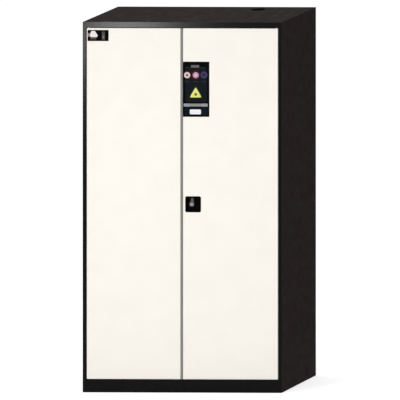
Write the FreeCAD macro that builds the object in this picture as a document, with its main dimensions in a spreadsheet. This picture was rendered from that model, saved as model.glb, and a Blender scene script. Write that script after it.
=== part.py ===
import FreeCAD, Part
import Sketcher
import math
import os
import re

# Chemical storage cabinet: a sheet steel carcass with two wing doors, tray shelves, a sump,
# an exhaust duct and a three-point lock. The front faces -Y, +X is to the right of somebody
# who stands before the doors, and the origin is on the floor under the middle.

doc = FreeCAD.newDocument("ChemicalStorageCabinet")

driving_sizes = {
    # carcass
    "cabinet_width": 1055,
    "cabinet_depth": 520,
    "cabinet_height": 1950,
    "panel_sheet": 1.2,
    "panel_fold": 1.5,
    "seam": 0.2,
    "stile_face": 17,
    "rear_lap": 18,
    "roof_flange": 18,
    "rail_face": 28,
    "rail_depth": 52,
    "plinth_height": 66,
    "plinth_flange": 26,
    "rear_plinth_height": 60,
    "rear_panel_lift": 10,
    "bead_width": 30,
    "bead_depth": 4,
    "bead_pitch": 260,
    "bead_margin": 140,
    "base_rail_width": 40,
    "base_rail_lift": 14,
    "foot_radius": 18,
    "foot_pad_height": 8,
    "foot_stem_radius": 5,
    "foot_stem_top": 50,
    "foot_inset": 60,
    "foot_nut_height": 8,
    "foot_nut_radius": 9,
    "jamb_width": 34,
    "jamb_gap": 4,
    "buffer_radius": 5,
    "buffer_inset": 6,
    # doors
    "door_sheet": 1.2,
    "door_fold": 2,
    "door_thickness": 22,
    "door_setback": 2,
    "hinge_gap": 4,
    "top_gap": 4,
    "bottom_gap": 4,
    "meeting_gap": 7,
    "strip_width": 5.5,
    "strip_cover": 6.5,
    "strip_lap": 1,
    "strip_inset": 1.5,
    "strip_margin": 1,
    "strip_round": 0.8,
    "liner_fold": 6,
    "stiffener_width": 50,
    "stiffener_margin": 20,
    "rest_gap": 0.3,
    # door pivots
    "pivot_inset": 8,
    "pin_radius": 4,
    "pin_root": 20,
    "pin_play": 0.05,
    "pin_end_gap": 1,
    "pin_plate": 3,
    "pin_plate_length": 18,
    "pin_plate_width": 6.5,
    "bush_radius": 6,
    "bush_length": 8,
    "bush_flange_radius": 9,
    "bush_flange": 1.5,
    # magnetic catches
    "magnet_from_middle": 130,
    "magnet_length": 50,
    "magnet_depth": 20,
    "magnet_height": 17,
    "strike_sheet": 1.5,
    "strike_height": 26,
    "strike_inset": 2,
    # plates on the doors
    "plate_sheet": 1,
    "badge_inset": 5,
    "badge_drop": 10.7,
    "badge_width": 111,
    "badge_height": 58,
    "badge_corner": 3,
    "sign_inset": 1,
    "sign_width": 139,
    "sign_height": 290,
    "sign_drop": 176,
    "sign_corner": 2,
    # inside
    "post_sheet": 1.5,
    "post_width": 30,
    "post_depth": 14,
    "post_height": 1820,
    "front_post_inset": 95,
    "rear_post_inset": 95,
    "slot_width": 8,
    "slot_height": 14,
    "slot_pitch": 70,
    "slot_start": 40,
    "clip_sheet": 2,
    "clip_width": 22,
    "clip_reach": 18,
    "clip_rise": 4,
    "clip_drop": 8,
    "clip_play": 0.5,
    "shelf_sheet": 1.2,
    "shelf_setback": 70,
    "shelf_depth": 395,
    "shelf_side_gap": 7.3,
    "tray_lip": 30,
    "tray_rim": 9,
    "tray_corner": 4,
    "sump_height": 60,
    "grid_sheet": 1.5,
    "grid_skirt": 15,
    "grid_height": 54,
    "grid_gap": 8,
    "grid_front_gap": 40,
    "grid_slot_length": 70,
    "grid_slot_width": 5,
    # exhaust
    "exhaust_x": 250,
    "exhaust_from_back": 85,
    "exhaust_radius": 37.5,
    "collar_wall": 1.5,
    "collar_length": 50,
    "collar_flange_radius": 55,
    "collar_flange": 2,
    "plenum_width": 160,
    "plenum_height": 70,
    "plenum_reach": 57,
    "duct_width": 90,
    "duct_depth": 35,
    "duct_flange": 12,
    "duct_lift": 84,
    "duct_slot_length": 50,
    "duct_slot_width": 8,
    # handle
    "handle_from_edge": 46.5,
    "handle_level": 991.5,
    "dish_shift": 7.5,
    "dish_width": 83,
    "dish_height": 84,
    "dish_corner": 8,
    "dish_rim": 3,
    "dish_lip": 1.5,
    "dish_wall": 2,
    "dish_depth": 13.5,
    "lip_round": 0.7,
    "hub_radius": 13.5,
    "hub_sink": 1,
    "hub_boss_radius": 8,
    "hub_boss_length": 4,
    "lever_reach": 34,
    "lever_root": 24,
    "lever_tip": 12,
    "lever_lean": 3,
    "lever_sink": 1.5,
    "lever_thickness": 9,
    "lever_round": 1.5,
    "lever_tip_round": 4.5,
    "core_radius": 8.4,
    "core_depth": 5.8,
    "core_play": 0.05,
    "core_stand": 0.6,
    "key_slot_width": 1.8,
    "key_slot_length": 8.5,
    "key_slot_depth": 4,
    "spindle_square": 8,
    "square_play": 0.1,
    "socket_depth": 8,
    "spindle_thread_radius": 3,
    "spindle_tail": 5.5,
    "nut_height": 4.8,
    "nut_radius": 6.5,
    # lock
    "gear_module": 1.5,
    "gear_teeth": 16,
    "pressure_angle": 20,
    "tooth_sink": 1,
    "gear_boss_radius": 8,
    "gear_boss_play": 1,
    "tooth_backlash": 0.3,
    "tip_relief": 0.15,
    "rod_square": 8,
    "rod_standoff": 6.5,
    "rod_end_gap": 2,
    "rod_chamfer": 2,
    "rod_play": 0.3,
    "rod_hole_play": 1.5,
    "keeper_play": 0.5,
    "keeper_length": 40,
    "keeper_width": 16,
    "keeper_sheet": 3,
    "guide_near_share": 0.33,
    "guide_far_share": 0.82,
    "guide_height": 14,
    "guide_wall": 5,
    "lock_sheet": 2,
    "lock_height": 120,
    "lock_flange": 12.5,
    "case_sheet": 1.5,
    "case_side_gap": 2.1,
    "case_rear_gap": 5,
    "tongue_gap": 1,
    "tongue_sheet": 4,
    "tongue_width": 16,
    "tongue_hub_radius": 11,
    "tongue_overlap": 24,
    "tongue_tip_round": 7,
    "catch_sheet": 2,
    "catch_gap": 1.5,
    "catch_length": 27,
    "catch_inset": 5.5,
    "catch_drop": 12,
    "catch_rise": 11,
}

# Places that follow from the driving sizes. Each formula may use the names above it.
layout_formulas = {
    "front_y": "-(cabinet_depth / 2)",
    "back_y": "cabinet_depth / 2",
    "wall_x": "cabinet_width / 2 - panel_sheet",
    "stile_x": "cabinet_width / 2 - stile_face",
    "rear_in": "back_y - 2 * panel_sheet",
    "roof_under": "cabinet_height - panel_sheet",
    "rail_low": "cabinet_height - rail_face",
    "floor_under": "plinth_height - panel_sheet",
    "door_low": "plinth_height + bottom_gap",
    "door_height": "rail_low - top_gap - door_low",
    "door_edge": "stile_x - hinge_gap",
    "door_width": "door_edge - meeting_gap / 2",
    "door_front": "front_y + door_setback",
    "door_back": "door_front + door_thickness",
    "pivot_x": "door_edge - pivot_inset",
    "pivot_y": "door_front + pivot_inset",
    "skin_front": "-pivot_inset",
    "skin_back": "door_thickness - pivot_inset",
    "skin_far": "door_width - pivot_inset",
    "jamb_y": "door_back + jamb_gap",
    "jamb_x": "stile_x - jamb_width",
    "foot_x": "wall_x - base_rail_width / 2",
    "magnet_y": "door_back + strike_sheet + rest_gap",
    "post_face_x": "wall_x - post_depth",
    "shelf_half": "post_face_x - shelf_side_gap",
    "shelf_front": "front_y + shelf_setback",
    "shelf_step": "5 * slot_pitch",
    "shelf_level": "plinth_height + slot_start + slot_height + clip_rise + shelf_step",
    "exhaust_y": "back_y - exhaust_from_back",
    "plenum_low": "roof_under - plenum_height",
    "plenum_front": "exhaust_y - plenum_reach",
    "plenum_back": "rear_in - panel_sheet - 2 * seam",
    "duct_front": "rear_in - duct_depth",
    "handle_x": "meeting_gap / 2 + handle_from_edge",
    "dish_floor": "dish_depth - dish_lip",
    "dish_back": "dish_floor + dish_wall",
    "hub_rear": "dish_floor - rest_gap",
    "boss_rear": "hub_rear + hub_boss_length",
    "pitch_radius": "gear_module * gear_teeth / 2",
    "addendum": "gear_module * 0.9",
    "dedendum": "gear_module * 1.25",
    "rack_pitch": "pi * gear_module",
    "rod_near": "pitch_radius + dedendum",
    "rod_far": "rod_near + rod_square",
    "rod_middle": "rod_near + rod_square / 2",
    "rod_front": "door_thickness + rod_standoff",
    "rod_back": "rod_front + rod_square",
    "rod_y": "door_front + rod_front + rod_square / 2",
    "base_back": "door_thickness + lock_sheet",
    "case_half": "rod_far + case_side_gap",
    "case_inside": "rod_back + case_rear_gap",
    "case_back": "case_inside + case_sheet",
    "tongue_front": "case_back + tongue_gap",
    "tongue_back": "tongue_front + tongue_sheet",
}

shelf_count = 4
rack_teeth = 10
rack_teeth_behind = 6
flank_points = 4
grid_columns = 11
grid_rows = 11


# Sheets of sizes

def fill_sheet(name, cells):
    sheet = doc.addObject("Spreadsheet::Sheet", name)
    for row, (alias, content) in enumerate(cells.items(), start=1):
        sheet.set(f"A{row}", alias)
        sheet.set(f"B{row}", content)
        sheet.setAlias(f"B{row}", alias)
    doc.recompute()
    return sheet


def refer(formula, home=""):
    # a size's name becomes a reference to the sheet that holds it
    def name_of(match):
        word = match.group()
        if word in driving_sizes:
            return f"Sizes.{word}"
        if word in layout_formulas and home != "Layout":
            return f"Layout.{word}"
        return word
    return re.sub(r"[a-z_]+", name_of, formula)


sizes = fill_sheet("Sizes", {alias: str(number) for alias, number in driving_sizes.items()})
layout = fill_sheet("Layout", {alias: "=" + refer(text, "Layout") for alias, text in layout_formulas.items()})


def number(formula):
    return float(sizes.evalExpression(refer(formula)))


# Bodies, sketches and features

finished_parts = []
planes = {"XY": ("XY_Plane", 1), "XZ": ("XZ_Plane", -1), "YZ": ("YZ_Plane", 1)}


def new_body(label, across="0", deep="0", up="0"):
    body = doc.addObject("PartDesign::Body", label)
    body.Label = label
    body.AllowCompound = True
    for axis, formula in zip("xyz", (across, deep, up)):
        body.setExpression(f"Placement.Base.{axis}", refer(formula))
    finished_parts.append(body)
    return body


def origin_feature(body, role):
    return next(feature for feature in body.Origin.OriginFeatures if feature.Role == role)


def new_sketch(body, plane, offset="0"):
    # the offset runs along the world axis that the plane doesn't hold
    role, sense = planes[plane]
    sketch = body.newObject("Sketcher::SketchObject", f"{plane}_sketch")
    sketch.AttachmentSupport = (origin_feature(body, role), [""])
    sketch.MapMode = "FlatFace"
    sketch.setExpression("AttachmentOffset.Base.z", refer(f"{sense} * ({offset})"))
    return sketch


def pin_point(sketch, edge, end, across, up):
    for kind, formula in (("DistanceX", across), ("DistanceY", up)):
        constraint = Sketcher.Constraint(kind, -1, 1, edge, end, number(formula))
        index = sketch.addConstraint(constraint)
        sketch.setExpression(f"Constraints[{index}]", refer(formula))


def add_outline(sketch, corners):
    # a closed outline of straight edges, every corner held by its two sizes
    first = sketch.GeometryCount
    points = [FreeCAD.Vector(number(across), number(up), 0) for across, up in corners]
    count = len(points)
    for index, start in enumerate(points):
        sketch.addGeometry(Part.LineSegment(start, points[(index + 1) % count]))
    for index in range(count):
        following = first + (index + 1) % count
        sketch.addConstraint(Sketcher.Constraint("Coincident", first + index, 2, following, 1))
    for index, (across, up) in enumerate(corners):
        pin_point(sketch, first + index, 1, across, up)


def add_rectangle(sketch, left, low, right, high):
    add_outline(sketch, [(left, low), (right, low), (right, high), (left, high)])


def add_centred_rectangle(sketch, across, up, width, height):
    left, right = f"{across} - ({width}) / 2", f"{across} + ({width}) / 2"
    low, high = f"{up} - ({height}) / 2", f"{up} + ({height}) / 2"
    add_rectangle(sketch, left, low, right, high)


def add_circle(sketch, across, up, radius):
    edge = sketch.GeometryCount
    centre = FreeCAD.Vector(number(across), number(up), 0)
    sketch.addGeometry(Part.Circle(centre, FreeCAD.Vector(0, 0, 1), number(radius)))
    pin_point(sketch, edge, 3, across, up)
    index = sketch.addConstraint(Sketcher.Constraint("Radius", edge, number(radius)))
    sketch.setExpression(f"Constraints[{index}]", refer(radius))


def add_hexagon(sketch, across, up, radius):
    corners = []
    for step in range(6):
        turn = 60 * step
        corners.append((f"{across} + {radius} * cos({turn})", f"{up} + {radius} * sin({turn})"))
    add_outline(sketch, corners)


def along_normal(sketch, direction):
    normal = sketch.Placement.Rotation.multVec(FreeCAD.Vector(0, 0, 1))
    return (normal.x + normal.y + normal.z) * direction > 0


def pad(sketch, length, direction=1):
    # direction is +1 or -1 along the world axis that the sketch faces
    body = sketch.getParentGeoFeatureGroup()
    doc.recompute()
    feature = body.newObject("PartDesign::Pad", f"{body.Name}_pad")
    feature.Profile = sketch
    feature.setExpression("Length", refer(length))
    feature.Reversed = not along_normal(sketch, direction)
    body.Tip = feature
    return feature


def pocket(sketch, depth, direction=1):
    body = sketch.getParentGeoFeatureGroup()
    doc.recompute()
    feature = body.newObject("PartDesign::Pocket", f"{body.Name}_pocket")
    feature.Profile = sketch
    feature.setExpression("Length", refer(depth))
    feature.Reversed = along_normal(sketch, direction)
    body.Tip = feature
    return feature


def straight_edges(shape, axis, wanted=lambda middle: True):
    # names of the edges that run along an axis and whose middle passes the test
    names = []
    for index, edge in enumerate(shape.Edges, start=1):
        if not isinstance(edge.Curve, Part.Line):
            continue
        slope = dict(zip("XYZ", edge.Curve.Direction))[axis]
        if abs(abs(slope) - 1) < 1e-6 and wanted(edge.CenterOfMass):
            names.append(f"Edge{index}")
    return names


def dress(body, kind, radius, choose):
    # a Fillet or Chamfer on the edges of the tip that choose() names
    doc.recompute()
    base = body.Tip
    feature = body.newObject(f"PartDesign::{kind}", f"{body.Name}_{kind.lower()}")
    feature.Base = (base, choose(base.Shape))
    feature.setExpression("Radius" if kind == "Fillet" else "Size", refer(radius))
    body.Tip = feature
    return feature


def repeat_along(body, features, axis, pitch, count):
    pattern = body.newObject("PartDesign::LinearPattern", f"{body.Name}_row")
    pattern.Originals = features
    pattern.Direction = (origin_feature(body, f"{axis}_Axis"), [""])
    pattern.setExpression("Length", refer(f"({pitch}) * {count - 1}"))
    pattern.Occurrences = count
    body.Tip = pattern
    return pattern


def near(value, formula):
    return abs(value - number(formula)) < 0.01


# Carcass

def make_side_panel(label, side):
    body = new_body(label)
    sketch = new_sketch(body, "XY")
    add_outline(sketch, [
        (f"{side} * cabinet_width / 2", "front_y"),
        (f"{side} * stile_x", "front_y"),
        (f"{side} * stile_x", "front_y + panel_sheet"),
        (f"{side} * wall_x", "front_y + panel_sheet"),
        (f"{side} * wall_x", "back_y - panel_sheet"),
        (f"{side} * (cabinet_width / 2 - rear_lap)", "back_y - panel_sheet"),
        (f"{side} * (cabinet_width / 2 - rear_lap)", "back_y"),
        (f"{side} * cabinet_width / 2", "back_y"),
    ])
    pad(sketch, "roof_under")
    dress(body, "Fillet", "panel_fold", lambda shape: straight_edges(
        shape, "Z", lambda middle: near(abs(middle.x), "cabinet_width / 2")))


def make_rear_panel():
    body = new_body("rear_panel")
    sheet = new_sketch(body, "XZ", "rear_in")
    add_rectangle(sheet, "-(wall_x - seam)", "rear_panel_lift", "wall_x - seam", "roof_under - seam")
    pad(sheet, "panel_sheet")
    # pressed beads stiffen the sheet: raised on the inside, sunk on the outside
    raised = new_sketch(body, "XZ", "rear_in")
    sunk = new_sketch(body, "XZ", "rear_in + panel_sheet")
    for step in (-1.5, -0.5, 0.5, 1.5):
        middle = f"{step} * bead_pitch"
        for sketch, wall in ((raised, "0"), (sunk, "panel_sheet")):
            add_rectangle(
                sketch,
                f"{middle} - bead_width / 2 + {wall}", f"bead_margin + {wall}",
                f"{middle} + bead_width / 2 - {wall}", f"cabinet_height - bead_margin - {wall}")
    pad(raised, "bead_depth", -1)
    pocket(sunk, "bead_depth", -1)


def make_roof_panel():
    body = new_body("roof_panel", up="roof_under")
    sheet = new_sketch(body, "XY")
    add_centred_rectangle(sheet, "0", "0", "cabinet_width", "cabinet_depth")
    pad(sheet, "panel_sheet")
    dress(body, "Fillet", "panel_fold", lambda shape: straight_edges(shape, "Z"))
    left, right = "-(wall_x - seam)", "wall_x - seam"
    front, back = "front_y + rail_depth + seam", "rear_in - seam"
    flange = new_sketch(body, "XY")
    add_rectangle(flange, left, front, right, back)
    add_rectangle(flange, f"{left} + panel_sheet", f"{front} + panel_sheet",
                  f"{right} - panel_sheet", f"{back} - panel_sheet")
    pad(flange, "roof_flange", -1)
    hole = new_sketch(body, "XY", "panel_sheet")
    add_circle(hole, "exhaust_x", "exhaust_y", "exhaust_radius + collar_wall + seam")
    pocket(hole, "panel_sheet", -1)


def make_top_rail():
    # a channel, open at the top, that carries the upper pivots and takes the upper rod
    body = new_body("top_rail")
    section = new_sketch(body, "YZ", "-stile_x")
    add_outline(section, [
        ("front_y", "rail_low"),
        ("front_y + rail_depth", "rail_low"),
        ("front_y + rail_depth", "roof_under"),
        ("front_y + rail_depth - panel_sheet", "roof_under"),
        ("front_y + rail_depth - panel_sheet", "rail_low + panel_sheet"),
        ("front_y + panel_sheet", "rail_low + panel_sheet"),
        ("front_y + panel_sheet", "roof_under"),
        ("front_y", "roof_under"),
    ])
    pad(section, "2 * stile_x")
    holes = new_sketch(body, "XY", "rail_low + panel_sheet")
    add_circle(holes, "pivot_x", "pivot_y", "bush_radius")
    add_circle(holes, "-pivot_x", "pivot_y", "bush_radius")
    rod_hole = "rod_square + 2 * rod_hole_play"
    add_centred_rectangle(holes, "handle_x - rod_middle", "rod_y", rod_hole, rod_hole)
    pocket(holes, "panel_sheet", -1)


def make_floor_pan():
    body = new_body("floor_pan", up="floor_under")
    sheet = new_sketch(body, "XY")
    add_outline(sheet, [
        ("-stile_x", "front_y"),
        ("stile_x", "front_y"),
        ("stile_x", "front_y + panel_sheet"),
        ("wall_x - seam", "front_y + panel_sheet"),
        ("wall_x - seam", "rear_in - seam"),
        ("-(wall_x - seam)", "rear_in - seam"),
        ("-(wall_x - seam)", "front_y + panel_sheet"),
        ("-stile_x", "front_y + panel_sheet"),
    ])
    pad(sheet, "panel_sheet")
    holes = new_sketch(body, "XY", "panel_sheet")
    add_circle(holes, "pivot_x", "pivot_y", "bush_radius")
    add_circle(holes, "-pivot_x", "pivot_y", "bush_radius")
    rod_hole = "rod_square + 2 * rod_hole_play"
    add_centred_rectangle(holes, "handle_x + rod_middle", "rod_y", rod_hole, rod_hole)
    pocket(holes, "panel_sheet", -1)


def make_front_plinth():
    body = new_body("plinth_front")
    section = new_sketch(body, "YZ", "-stile_x")
    add_outline(section, [
        ("front_y", "0"),
        ("front_y + plinth_flange", "0"),
        ("front_y + plinth_flange", "panel_sheet"),
        ("front_y + panel_sheet", "panel_sheet"),
        ("front_y + panel_sheet", "floor_under - panel_sheet"),
        ("front_y + plinth_flange", "floor_under - panel_sheet"),
        ("front_y + plinth_flange", "floor_under"),
        ("front_y", "floor_under"),
    ])
    pad(section, "2 * stile_x")
    holes = new_sketch(body, "XY", "floor_under")
    add_circle(holes, "pivot_x", "pivot_y", "bush_radius")
    add_circle(holes, "-pivot_x", "pivot_y", "bush_radius")
    pocket(holes, "panel_sheet", -1)


def make_rear_plinth():
    body = new_body("plinth_rear")
    section = new_sketch(body, "YZ", "-(cabinet_width / 2 - rear_lap)")
    add_outline(section, [
        ("back_y", "0"),
        ("back_y", "rear_plinth_height"),
        ("back_y - panel_sheet", "rear_plinth_height"),
        ("back_y - panel_sheet", "panel_sheet"),
        ("back_y - plinth_flange", "panel_sheet"),
        ("back_y - plinth_flange", "0"),
    ])
    pad(section, "cabinet_width - 2 * rear_lap")


def make_base_rail(label, side):
    # a channel along the side wall that carries the floor pan and two levelling feet
    body = new_body(label, across=f"{side} * wall_x")
    section = new_sketch(body, "XZ", "front_y + plinth_flange + seam")
    reach = f"-{side} * base_rail_width" if side > 0 else "base_rail_width"
    skin = f"-{side} * panel_sheet" if side > 0 else "panel_sheet"
    add_outline(section, [
        ("0", "base_rail_lift"),
        (reach, "base_rail_lift"),
        (reach, "base_rail_lift + panel_sheet"),
        (skin, "base_rail_lift + panel_sheet"),
        (skin, "floor_under - panel_sheet"),
        (reach, "floor_under - panel_sheet"),
        (reach, "floor_under"),
        ("0", "floor_under"),
    ])
    pad(section, "cabinet_depth - plinth_flange - 2 * panel_sheet - 2 * seam")
    holes = new_sketch(body, "XY", "base_rail_lift + panel_sheet")
    for end in (-1, 1):
        add_circle(holes, f"{reach} / 2", f"{end} * (back_y - foot_inset)", "foot_stem_radius + rest_gap")
    pocket(holes, "panel_sheet", -1)


def make_levelling_feet():
    body = new_body("levelling_feet")
    pads = new_sketch(body, "XY")
    stems = new_sketch(body, "XY", "foot_pad_height")
    nuts = new_sketch(body, "XY", "base_rail_lift + panel_sheet")
    for side in (-1, 1):
        for end in (-1, 1):
            across, deep = f"{side} * foot_x", f"{end} * (back_y - foot_inset)"
            add_circle(pads, across, deep, "foot_radius")
            add_circle(stems, across, deep, "foot_stem_radius")
            add_hexagon(nuts, across, deep, "foot_nut_radius")
    pad(pads, "foot_pad_height")
    pad(stems, "foot_stem_top - foot_pad_height")
    pad(nuts, "foot_nut_height")


def make_door_jamb(label, side):
    body = new_body(label, up="plinth_height")
    section = new_sketch(body, "XY")
    add_outline(section, [
        (f"{side} * (stile_x + panel_sheet)", "front_y + panel_sheet"),
        (f"{side} * stile_x", "front_y + panel_sheet"),
        (f"{side} * stile_x", "jamb_y"),
        (f"{side} * jamb_x", "jamb_y"),
        (f"{side} * jamb_x", "jamb_y + panel_sheet"),
        (f"{side} * (stile_x + panel_sheet)", "jamb_y + panel_sheet"),
    ])
    pad(section, "rail_low - plinth_height")


def make_door_buffers():
    body = new_body("door_buffers")
    sketch = new_sketch(body, "XZ", "jamb_y")
    for side in (-1, 1):
        for quarter in (1, 2, 3):
            level = f"door_low + door_height * {quarter} / 4"
            add_circle(sketch, f"{side} * (jamb_x + buffer_inset)", level, "buffer_radius")
    pad(sketch, "jamb_gap - rest_gap", -1)


def make_pivot_bushes():
    # flanged bushes: the lower flanges carry the doors
    body = new_body("pivot_bushes")
    levels = (
        ("rail_low", "bush_length", 1, "bush_radius"),
        ("rail_low", "bush_flange", -1, "bush_flange_radius"),
        ("plinth_height", "bush_length", -1, "bush_radius"),
        ("plinth_height", "bottom_gap - rest_gap", 1, "bush_flange_radius"),
    )
    for level, length, direction, radius in levels:
        rings = new_sketch(body, "XY", level)
        for side in (-1, 1):
            add_circle(rings, f"{side} * pivot_x", "pivot_y", radius)
            add_circle(rings, f"{side} * pivot_x", "pivot_y", "pin_radius + pin_play")
        pad(rings, length, direction)


def make_rod_keepers():
    body = new_body("rod_keepers")
    keepers = (
        ("handle_x - rod_middle", "rail_low + panel_sheet", 1),
        ("handle_x + rod_middle", "floor_under", -1),
    )
    for across, level, direction in keepers:
        plate = new_sketch(body, "XY", level)
        add_centred_rectangle(plate, across, "rod_y", "keeper_length", "keeper_width")
        mouth = "rod_square + 2 * keeper_play"
        add_centred_rectangle(plate, across, "rod_y", mouth, mouth)
        pad(plate, "keeper_sheet", direction)


def make_magnet_catches():
    body = new_body("magnet_catches")
    for level, direction in (("rail_low", -1), ("plinth_height", 1)):
        blocks = new_sketch(body, "XY", level)
        for side in (-1, 1):
            add_centred_rectangle(blocks, f"{side} * magnet_from_middle", "magnet_y + magnet_depth / 2",
                                  "magnet_length", "magnet_depth")
        pad(blocks, "magnet_height", direction)


# Inside

def make_shelf_post(label, side, deep):
    body = new_body(label, across=f"{side} * wall_x", deep=deep, up="plinth_height")
    face = "-post_depth" if side > 0 else "post_depth"
    inner = f"{face} + {side} * post_sheet"
    section = new_sketch(body, "XY")
    add_outline(section, [
        ("0", "-post_width / 2"),
        (face, "-post_width / 2"),
        (face, "post_width / 2"),
        ("0", "post_width / 2"),
        ("0", "post_width / 2 - post_sheet"),
        (inner, "post_width / 2 - post_sheet"),
        (inner, "-(post_width / 2 - post_sheet)"),
        ("0", "-(post_width / 2 - post_sheet)"),
    ])
    pad(section, "post_height")
    slot = new_sketch(body, "YZ", face)
    add_rectangle(slot, "-slot_width / 2", "slot_start", "slot_width / 2", "slot_start + slot_height")
    cut = pocket(slot, "post_sheet", side)
    count = int((number("post_height") - number("slot_start")) / number("slot_pitch"))
    repeat_along(body, [cut], "Z", "slot_pitch", count)


def make_shelf_clips():
    # each clip hangs in a slot by its hook and holds a shelf on its seat
    body = new_body("shelf_clips", up="shelf_level")
    features = []
    for deep in ("front_y + front_post_inset", "back_y - rear_post_inset"):
        seats = new_sketch(body, "XZ", f"{deep} - clip_width / 2")
        hooks = new_sketch(body, "XZ", f"{deep} - slot_width / 2 + clip_play")
        for side in (-1, 1):
            add_outline(seats, [
                (f"{side} * post_face_x", "0"),
                (f"{side} * (post_face_x - clip_reach)", "0"),
                (f"{side} * (post_face_x - clip_reach)", "-clip_sheet"),
                (f"{side} * (post_face_x - clip_sheet)", "-clip_sheet"),
                (f"{side} * (post_face_x - clip_sheet)", "-(clip_rise + slot_height + clip_drop)"),
                (f"{side} * post_face_x", "-(clip_rise + slot_height + clip_drop)"),
            ])
            add_rectangle(hooks, f"{side} * post_face_x", "-(clip_rise + slot_height - clip_play)",
                          f"{side} * (post_face_x + 2 * post_sheet)", "-(clip_rise + clip_play)")
        features.append(pad(seats, "clip_width"))
        features.append(pad(hooks, "slot_width - 2 * clip_play"))
    repeat_along(body, features, "Z", "shelf_step", shelf_count)


def make_tray(label, level, height):
    # a folded tray with a rim turned in along its four sides
    body = new_body(label, deep="shelf_front + shelf_depth / 2", up=level)
    block = new_sketch(body, "XY")
    add_centred_rectangle(block, "0", "0", "2 * shelf_half", "shelf_depth")
    pad(block, height)
    dress(body, "Fillet", "tray_corner", lambda shape: straight_edges(shape, "Z"))
    cavity = new_sketch(body, "XY", "shelf_sheet")
    add_centred_rectangle(cavity, "0", "0", "2 * (shelf_half - shelf_sheet)", "shelf_depth - 2 * shelf_sheet")
    pocket(cavity, f"{height} - 2 * shelf_sheet")
    mouth = new_sketch(body, "XY", height)
    add_centred_rectangle(mouth, "0", "0", "2 * (shelf_half - tray_rim)", "shelf_depth - 2 * tray_rim")
    pocket(mouth, "shelf_sheet", -1)


def make_sump_grid():
    # a perforated insert that stands in the sump on its two folded ends, clear of the rim; the
    # wide gap at its front edge is where a spill is seen and drawn off
    body = new_body("sump_grid", deep="shelf_front + (shelf_depth + grid_front_gap - grid_gap) / 2",
                    up="plinth_height + shelf_sheet")
    wide = "2 * (shelf_half - tray_rim - grid_gap)"
    deep = "(shelf_depth - 2 * tray_rim - grid_front_gap - grid_gap)"
    edges = new_sketch(body, "XY", "grid_height")
    add_centred_rectangle(edges, "0", "0", wide, deep)
    pad(edges, "grid_skirt", -1)
    under = new_sketch(body, "XY", "grid_height - grid_sheet")
    add_centred_rectangle(under, "0", "0", wide, f"{deep} - 2 * grid_sheet")
    pocket(under, "grid_skirt - grid_sheet", -1)
    ends = new_sketch(body, "XY", "grid_height - grid_sheet")
    for side in (-1, 1):
        add_centred_rectangle(ends, f"{side} * ({wide} - grid_sheet) / 2", "0", "grid_sheet",
                              f"{deep} - 2 * grid_sheet")
    pad(ends, "grid_height - grid_sheet", -1)
    across_pitch = f"({wide} - 2 * grid_skirt) / {grid_columns}"
    deep_pitch = f"({deep} - 2 * grid_skirt) / {grid_rows}"
    slot = new_sketch(body, "XY", "grid_height")
    add_centred_rectangle(slot, f"-({across_pitch}) * {grid_columns - 1} / 2",
                          f"-({deep_pitch}) * {grid_rows - 1} / 2", "grid_slot_length", "grid_slot_width")
    cut = pocket(slot, "grid_sheet", -1)
    pattern = repeat_along(body, [cut], "X", across_pitch, grid_columns)
    pattern.Direction2 = (origin_feature(body, "Y_Axis"), [""])
    pattern.setExpression("Length2", refer(f"({deep_pitch}) * {grid_rows - 1}"))
    pattern.Occurrences2 = grid_rows


def make_air_duct():
    # a hat section on the rear panel that draws air from the lowest level up to the plenum
    body = new_body("air_duct", across="exhaust_x", deep="rear_in", up="plinth_height + duct_lift")
    section = new_sketch(body, "XY")
    add_outline(section, [
        ("-(duct_width / 2 + duct_flange)", "0"),
        ("-(duct_width / 2 + duct_flange)", "-panel_sheet"),
        ("-duct_width / 2", "-panel_sheet"),
        ("-duct_width / 2", "-duct_depth"),
        ("duct_width / 2", "-duct_depth"),
        ("duct_width / 2", "-panel_sheet"),
        ("duct_width / 2 + duct_flange", "-panel_sheet"),
        ("duct_width / 2 + duct_flange", "0"),
        ("duct_width / 2 - panel_sheet", "0"),
        ("duct_width / 2 - panel_sheet", "-duct_depth + panel_sheet"),
        ("-duct_width / 2 + panel_sheet", "-duct_depth + panel_sheet"),
        ("-duct_width / 2 + panel_sheet", "0"),
    ])
    pad(section, "plenum_low - plinth_height - duct_lift")
    slot_count = shelf_count + 1
    slot_step = f"(plenum_low - plinth_height - duct_lift) / {slot_count}"
    slot = new_sketch(body, "XZ", "-duct_depth")
    add_centred_rectangle(slot, "0", f"{slot_step} / 2", "duct_slot_length", "duct_slot_width")
    cut = pocket(slot, "panel_sheet")
    repeat_along(body, [cut], "Z", slot_step, slot_count)


def make_air_plenum():
    # an open box under the roof, over the top end of the duct
    body = new_body("air_plenum", across="exhaust_x", up="plenum_low")
    left, right = "-plenum_width / 2", "plenum_width / 2"
    block = new_sketch(body, "XY")
    add_rectangle(block, left, "plenum_front", right, "plenum_back")
    pad(block, "plenum_height")
    hollow = new_sketch(body, "XY", "panel_sheet")
    add_rectangle(hollow, f"{left} + panel_sheet", "plenum_front + panel_sheet",
                  f"{right} - panel_sheet", "plenum_back - panel_sheet")
    pocket(hollow, "plenum_height - panel_sheet")
    opening = new_sketch(body, "XY", "panel_sheet")
    add_rectangle(opening, "-duct_width / 2 + panel_sheet", "duct_front + panel_sheet",
                  "duct_width / 2 - panel_sheet", "plenum_back - panel_sheet")
    pocket(opening, "panel_sheet", -1)


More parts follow.
